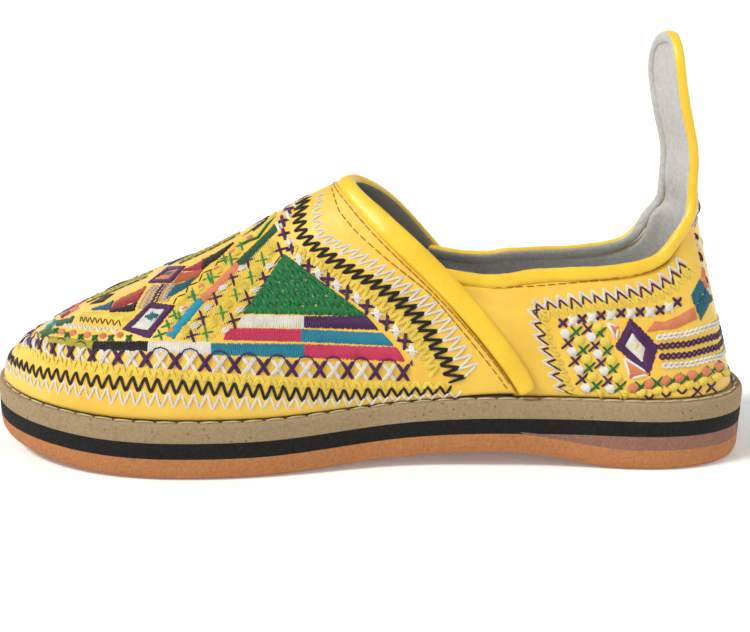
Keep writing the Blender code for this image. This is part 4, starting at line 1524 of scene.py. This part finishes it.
def swept_roll(name, centres, outs, ups, widths, overs, unders, fullness, sides=28):
    """A folded edge of soft oval section: the band's leather outside, the lining's suede inside."""
    vertices, faces, which = [], [], []
    for centre, out, up, width, over, under in zip(centres, outs, ups, widths, overs, unders):
        for k in range(sides):
            turn = 2 * math.pi * k / sides
            across, high = math.cos(turn), math.sin(turn)
            across = math.copysign(abs(across) ** fullness, across) * width / 2
            high = math.copysign(abs(high) ** fullness, high)
            vertices.append(centre + out * across + up * high * (over if high > 0 else under))
    for s in range(len(centres) - 1):
        for k in range(sides):
            a, b = s * sides + k, s * sides + (k + 1) % sides
            faces.append((a, b, b + sides, a + sides))
            which.append(int(LINED_FROM < (k + 0.5) / sides < LINED_TO))
    last = (len(centres) - 1) * sides
    faces.append(list(range(sides))[::-1])
    faces.append([last + k for k in range(sides)])
    piece = new_piece(name, vertices, faces, [MATERIALS["band"], MATERIALS["lining"]], which + [0, 0])
    subdivide(piece)
    return piece


# Wrinkles along the two rolls: depth as a share, quick and slow turn from point to point, and the slow one's start
COLLAR_WRINKLES = (0.03, 1.7, 0.61, 1)
BAND_WRINKLES = (0.025, 1.3, 0.47, 2)
# How square the two rolls' sections are, as exponents, and the number of sides of the vamp's
COLLAR_FULLNESS, BAND_FULLNESS, BAND_SIDES = 0.8, 0.75, 32


def wrinkled(k, depth, quick, slow, start):
    """The share by which a roll swells at one of its points."""
    return 1 + depth * math.sin(k * quick) + depth * math.sin(k * slow + start)


# Share of its height by which the collar's roll stands above the edge, share of its start that is left bare,
# and its size: width added low down and lost on the tab, thickness over and under the edge and their change there
COLLAR_SET, COLLAR_BARE = 0.42, 0.35
COLLAR_WIDER, COLLAR_NARROWS = 0.7, 0.9
COLLAR_OVER, COLLAR_UNDER, OVER_THINS, UNDER_SWELLS = 1.6, 1.0, 0.15, 0.3
# Height above the collar where the tab starts, and over which the roll changes
TAB_FOOT, TAB_BLEND = 10, 14


def collar_piece(skin, normals):
    lines = []
    for side in (1, -1):
        quarter = QUARTERS[side]
        line = [quarter.column(w)[-1] for w in QUARTER_SHARES if w <= TAB_START]
        line = [p for p in line if p[1] > line[0][1] + COLLAR_ROLL_START * COLLAR_BARE]
        lines.append([*line, *quarter.tab_column(TAB_START)])
    path = [*lines[0], QUARTERS[1].tab_column(1.0)[-1], *lines[1][::-1]]
    points, ups, outs = edge_frames(skin, normals, path)
    centres = smoothed(points - ups * QUARTER_WALL / 2 + outs * (COLLAR_ROLL_HEIGHT * COLLAR_SET), 3)
    wrinkle = [wrinkled(k, *COLLAR_WRINKLES) for k in range(len(centres))]
    tall = [smooth_step((p[2] - COLLAR_RISE - TAB_FOOT) / TAB_BLEND) for p in points]
    widths = [(COLLAR_ROLL_HEIGHT + COLLAR_WIDER - COLLAR_NARROWS * t) * w for w, t in zip(wrinkle, tall)]
    overs = [(COLLAR_OVER - OVER_THINS * t) * w for w, t in zip(wrinkle, tall)]
    unders = [COLLAR_UNDER + UNDER_SWELLS * t for t in tall]
    piece = swept_roll("collar_roll", centres, outs, ups, widths, overs, unders, COLLAR_FULLNESS)
    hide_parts("collar_binding")


# Width of the vamp's band and its shift past the seam, from the sole up to the throat
BAND_WIDTH = curve(((0, 4.4), (0.3, 5.2), (0.5, 5.6), (0.7, 5.0), (0.85, 4.3), (1, 4.5)))
BAND_SHIFT = curve(((0, -0.4), (0.3, -0.7), (0.5, -1.4), (0.7, -1.1), (1, -0.4)))
# How far its ends reach down, and its thickness over and under the edge, with their change off the quarter
BAND_TUCK = 0.3
BAND_OVER, BAND_UNDER, BAND_OVER_SWELLS, BAND_UNDER_THINS = 1.5, 1.5, 0.25, 0.2
# Share of the throat's half where the band leaves the quarter, and over which it does
FREE_FROM, FREE_OVER = 7 / 13, 3 / 13
# The row of stitches beside it: height over the leather, distance from the band, stitch, pitch, and depth of the ends
SEAM_HEIGHT, SEAM_ASIDE, SEAM_STITCH, SEAM_PITCH, SEAM_DIP, SEAM_MARGIN = 0.12, 0.7, 2.0, 2.35, 0.16, 1.5


def seam_stitches(line, ups):
    """Machine stitches along a line on the leather."""
    travel = travelled(line)
    start = SEAM_MARGIN
    while start + SEAM_STITCH < travel[-1] - SEAM_MARGIN:
        steps = np.linspace(start, start + SEAM_STITCH, 6)
        points, sky = columns_at(steps, travel, line), columns_at(steps, travel, ups)
        dip = SEAM_DIP * (1 - np.sin(np.linspace(0, math.pi, 6)))[:, None]
        free_thread("brown", points - sky * dip, sky, SEWING_THREAD)
        start += SEAM_PITCH


def vamp_band(skin, normals):
    points, ups, outs, reach = throat_path(skin, normals)
    over_quarter = GLUE_GAP + VAMP_ROLL_THICKNESS / 2
    past_vamp = (VAMP_STEP - QUARTER_WALL) / 2
    half = (len(points) - 1) / 2
    centres, seam, widths, overs, unders = [], [], [], [], []
    for s, (point, up, out) in enumerate(zip(points, ups, outs)):
        share = min(s, len(points) - 1 - s) / half
        free = smooth_step((share - FREE_FROM) / FREE_OVER)
        lift = over_quarter * (1 - free) + past_vamp * free
        wrinkle = wrinkled(s, *BAND_WRINKLES)
        width, edge = BAND_WIDTH(share), reach[s] + BAND_SHIFT(share)
        widths.append(width)
        overs.append((BAND_OVER + BAND_OVER_SWELLS * free) * wrinkle)
        unders.append(BAND_UNDER - BAND_UNDER_THINS * free)
        centres.append(point + up * lift + out * (edge + width / 2))
        seam.append(point + up * (VAMP_STEP + SEAM_HEIGHT) + out * (edge - SEAM_ASIDE))
    seam_stitches(smoothed(seam, 2), ups)
    centres = smoothed(centres, 3)
    for end, before in ((0, 4), (-1, -5)):
        way = centres[end] - centres[before]
        centres[end] += way * BAND_TUCK / np.linalg.norm(way)
    piece = swept_roll("vamp_band", centres, outs, ups, widths, overs, unders, BAND_FULLNESS, BAND_SIDES)
    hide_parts("vamp_binding")


# The sole's layers

# Angle in degrees above which a layer's edge stays sharp
SHARP_ANGLE = 50


def slab(name, material, node, slot, start, rings):
    """A layer from rings of (inset, height function, added height), bottom to top, with flat caps."""
    half = LAYER_SPANS
    first = {side: OUTLINE.share_at(side, start) if start else 0.0 for side in (1, -1)}
    stops = [(1, first[1] + (1 - first[1]) * i / half) for i in range(half + 1)]
    last = 0 if start else 1
    stops += [(-1, first[-1] + (1 - first[-1]) * i / half) for i in range(half - 1, last - 1, -1)]
    count = len(stops)
    vertices, faces = [], []
    for inset, height, added in rings:
        for side, share in stops:
            x, y = OUTLINE.at(side, share, inset)
            vertices.append((x, y, height(y) + added))
    for r in range(len(rings) - 1):
        for k in range(count):
            near, far = r * count + k, r * count + (k + 1) % count
            faces.append((near, far, far + count, near + count))
    for base, flip in ((0, True), ((len(rings) - 1) * count, False)):
        for i in range(half):
            pairs = (i, i + 1, (count - 1 + last - i - 1) % count, (count - 1 + last - i) % count)
            face = list(dict.fromkeys(base + k for k in pairs))
            faces.append(face[::-1] if flip else face)
    piece = new_piece(name, vertices, faces, [MATERIALS[material]])
    piece.data.set_sharp_from_angle(angle=math.radians(SHARP_ANGLE))
    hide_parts(node)


# How far the insole tucks under the upper's wall, its inset, and where along the length the wedge's tip is cut
INSOLE_TUCK = 0.3
INSOLE_INSET = HEEL_LEDGE + QUARTER_WALL - INSOLE_TUCK
WEDGE_TIP = WEDGE_START + 0.012
# Each layer: piece, material, node, slot, place where it starts if not at the toe, and its rings
LAYERS = (
    ("outsole_foam", "outsole", "outsole", "terracotta_foam", 0.0, (
        (2.4, outsole_bottom, 0.0), (1.5, outsole_bottom, 0.12), (0.8, outsole_bottom, 0.6),
        (0.35, outsole_bottom, 1.4), (0.15, outsole_bottom, 2.6), (0.1, outsole_top, -0.3), (0.14, outsole_top, 0.0),
    )),
    ("wedge_foam", "wedge", "heel_wedge", "mauve_foam", WEDGE_TIP, (
        (0.14, wedge_bottom, -GLUE_GAP), (0.08, wedge_bottom, 0.3), (0.12, wedge_top, 0.0),
    )),
    ("black_layer", "black", "midsole_black", "black_foam", 0.0, (
        (0.12, black_bottom, -GLUE_GAP), (0.04, black_bottom, 0.6), (0.04, black_top, -0.4), (0.1, black_top, 0.0),
    )),
    ("tan_layer", "tan", "midsole_tan", "tan_foam", 0.0, (
        (0.08, tan_bottom, -GLUE_GAP), (0.0, tan_bottom, 0.5), (0.0, tan_top, -0.9), (0.12, tan_top, -0.35),
        (0.45, tan_top, 0.0), (1.2, tan_top, 0.06), (1.6, tan_top, -0.3), (LEDGE - 0.5, tan_top, -0.3),
        (LEDGE + 0.1, tan_top, 0.12), (HEEL_LEDGE + 0.6, tan_top, 0.15),
    )),
    ("insole_suede", "lining", "insole", "lining_suede", 0.0, (
        (INSOLE_INSET, feather, 0.0), (INSOLE_INSET, insole_top, -0.3), (INSOLE_INSET + 0.8, insole_top, 0.0),
    )),
)
# Stitches in the groove of the welt: pitch, share of it that shows, distance from the ledge, how far they bow in,
# how deep their ends lie, how far their middle rises, and half thickness
WELT_PITCH, WELT_SHOWN, WELT_GROOVE, WELT_BOW = 5.0, 0.84, 0.65, 0.55
WELT_SUNK, WELT_RISE, WELT_THREAD = 0.1, 0.35, 0.3


def welt_stitches():
    """Pale stitches that lie in scallops along the groove on the sole's top."""
    shown = WELT_PITCH * WELT_SHOWN
    shares = np.linspace(0, 1, 900)
    for side in (1, -1):
        length = travelled([OUTLINE.at(side, s, 0) for s in shares])
        at = 0.0
        while at + shown < length[-1]:
            stitch = []
            for t in np.linspace(0, 1, 6):
                share, bow = np.interp(at + shown * t, length, shares), math.sin(math.pi * t)
                x, y = OUTLINE.at(side, share, 0)
                x, y = OUTLINE.at(side, share, ledge(y) - WELT_GROOVE - WELT_BOW * bow)
                stitch.append((x, y, tan_top(y) - WELT_SUNK + WELT_RISE * bow))
            free_thread("cream", stitch, [(0, 0, 1.0)] * 6, WELT_THREAD)
            at += WELT_PITCH


COLLAR_SEWN = (
    (494, 287), (530, 286), (564, 283), (608, 279), (631.5, 275), (652, 269.5), (664, 264), (675, 254),
)
# The row's stitch, gap and half thickness
COLLAR_STITCH, COLLAR_GAP, COLLAR_THREAD = 2.2, 0.4, 0.13
# Stitches up the tab's edge: their number, u, v of the first and length of the row in v, and length of one
TAB_STITCHES, TAB_SEWN_U, TAB_SEWN_FROM, TAB_SEWN_OVER, TAB_STITCH = 26, 0.035, 0.05, 0.86, 0.024


def collar_stitches():
    """One row of brown stitches under the collar's binding and up the tab's edge."""
    row = pixel_ribbon(COLLAR_SEWN, np.array(COLLAR_SEWN) + [0, 1], kind="quarter")
    row.running("brown", COLLAR_STITCH, COLLAR_GAP, COLLAR_THREAD)
    for k in range(TAB_STITCHES):
        low = TAB_SEWN_FROM + TAB_SEWN_OVER * k / TAB_STITCHES
        lay("brown", "tab", [(TAB_SEWN_U, low), (TAB_SEWN_U, low + TAB_STITCH)], COLLAR_THREAD, steps=4)


skin, normals = upper_piece()
collar_piece(skin, normals)
vamp_band(skin, normals)
for layer in LAYERS:
    slab(*layer)
welt_stitches()
collar_stitches()
make_threads()


# Floor, light and camera

# Radius and height of the floor, which turns up into a low wall all round
FLOOR = ((900, 0), (1100, 15), (1250, 70), (1350, 170), (1400, 320), (1410, 620))
FLOOR_SPANS = 64
FLOOR_GLOW, DAYLIGHT = 0.12, 0.5
DAYLIGHT_COLOUR = (1.0, 0.99, 0.97, 1)
# Direction, strength, spread in degrees and colour of the sun
SUN = (-0.28, 0.60, -0.75), 2.5, 14, (1.0, 0.975, 0.94)


def build_stage():
    material, tree, shader = new_material("white_floor")
    set_inputs(tree, shader, {
        "Base Color": ramp(tree, noise(tree, 3), [(0.3, 0.93), (0.7, 0.95)]),
        "Roughness": 0.9,
        "Emission Color": (1, 1, 1, 1),
        "Emission Strength": FLOOR_GLOW,
    })
    vertices, faces = [(0, 0, 0)], []
    for radius, height in FLOOR:
        for k in range(FLOOR_SPANS):
            turn = 2 * math.pi * k / FLOOR_SPANS
            vertices.append((radius * math.cos(turn), radius * math.sin(turn), height))
    for k in range(FLOOR_SPANS):
        after = (k + 1) % FLOOR_SPANS
        faces.append((0, 1 + k, 1 + after))
        for r in range(len(FLOOR) - 1):
            a, b = 1 + r * FLOOR_SPANS + k, 1 + r * FLOOR_SPANS + after
            faces.append((a, a + FLOOR_SPANS, b + FLOOR_SPANS, b))
    mesh = bpy.data.meshes.new("floor")
    mesh.from_pydata((np.array(vertices) * MM).tolist(), [], faces)
    mesh.materials.append(material)
    mesh.shade_smooth()
    floor = bpy.data.objects.new("floor", mesh)
    bpy.context.scene.collection.objects.link(floor)
    world = bpy.data.worlds.new("daylight")
    world.use_nodes = True
    background = world.node_tree.nodes["Background"]
    background.inputs["Color"].default_value = DAYLIGHT_COLOUR
    background.inputs["Strength"].default_value = DAYLIGHT
    bpy.context.scene.world = world


def sun(name, way, strength, spread, colour):
    """A soft sun that shines along a direction."""
    data = bpy.data.lights.new(name, "SUN")
    data.energy = strength
    data.angle = math.radians(spread)
    data.color = colour
    light = bpy.data.objects.new(name, data)
    light.rotation_euler = Vector(way).to_track_quat("-Z", "Y").to_euler()
    bpy.context.scene.collection.objects.link(light)


def build_camera():
    data = bpy.data.cameras.new("camera")
    data.sensor_fit = "HORIZONTAL"
    data.sensor_width = SENSOR_WIDTH
    data.lens = SENSOR_WIDTH * FOCAL_PIXELS / PHOTO_WIDTH
    data.clip_start = 0.01
    camera = bpy.data.objects.new("camera", data)
    matrix = np.eye(4)
    matrix[:3, :3] = np.column_stack([RIGHT, UP, -FORWARD])
    matrix[:3, 3] = CAMERA_AT * MM
    camera.matrix_world = Matrix(matrix.tolist())
    bpy.context.scene.collection.objects.link(camera)
    bpy.context.scene.camera = camera


build_stage()
sun("key", *SUN)
build_camera()
bpy.context.scene.view_settings.view_transform = "Standard"
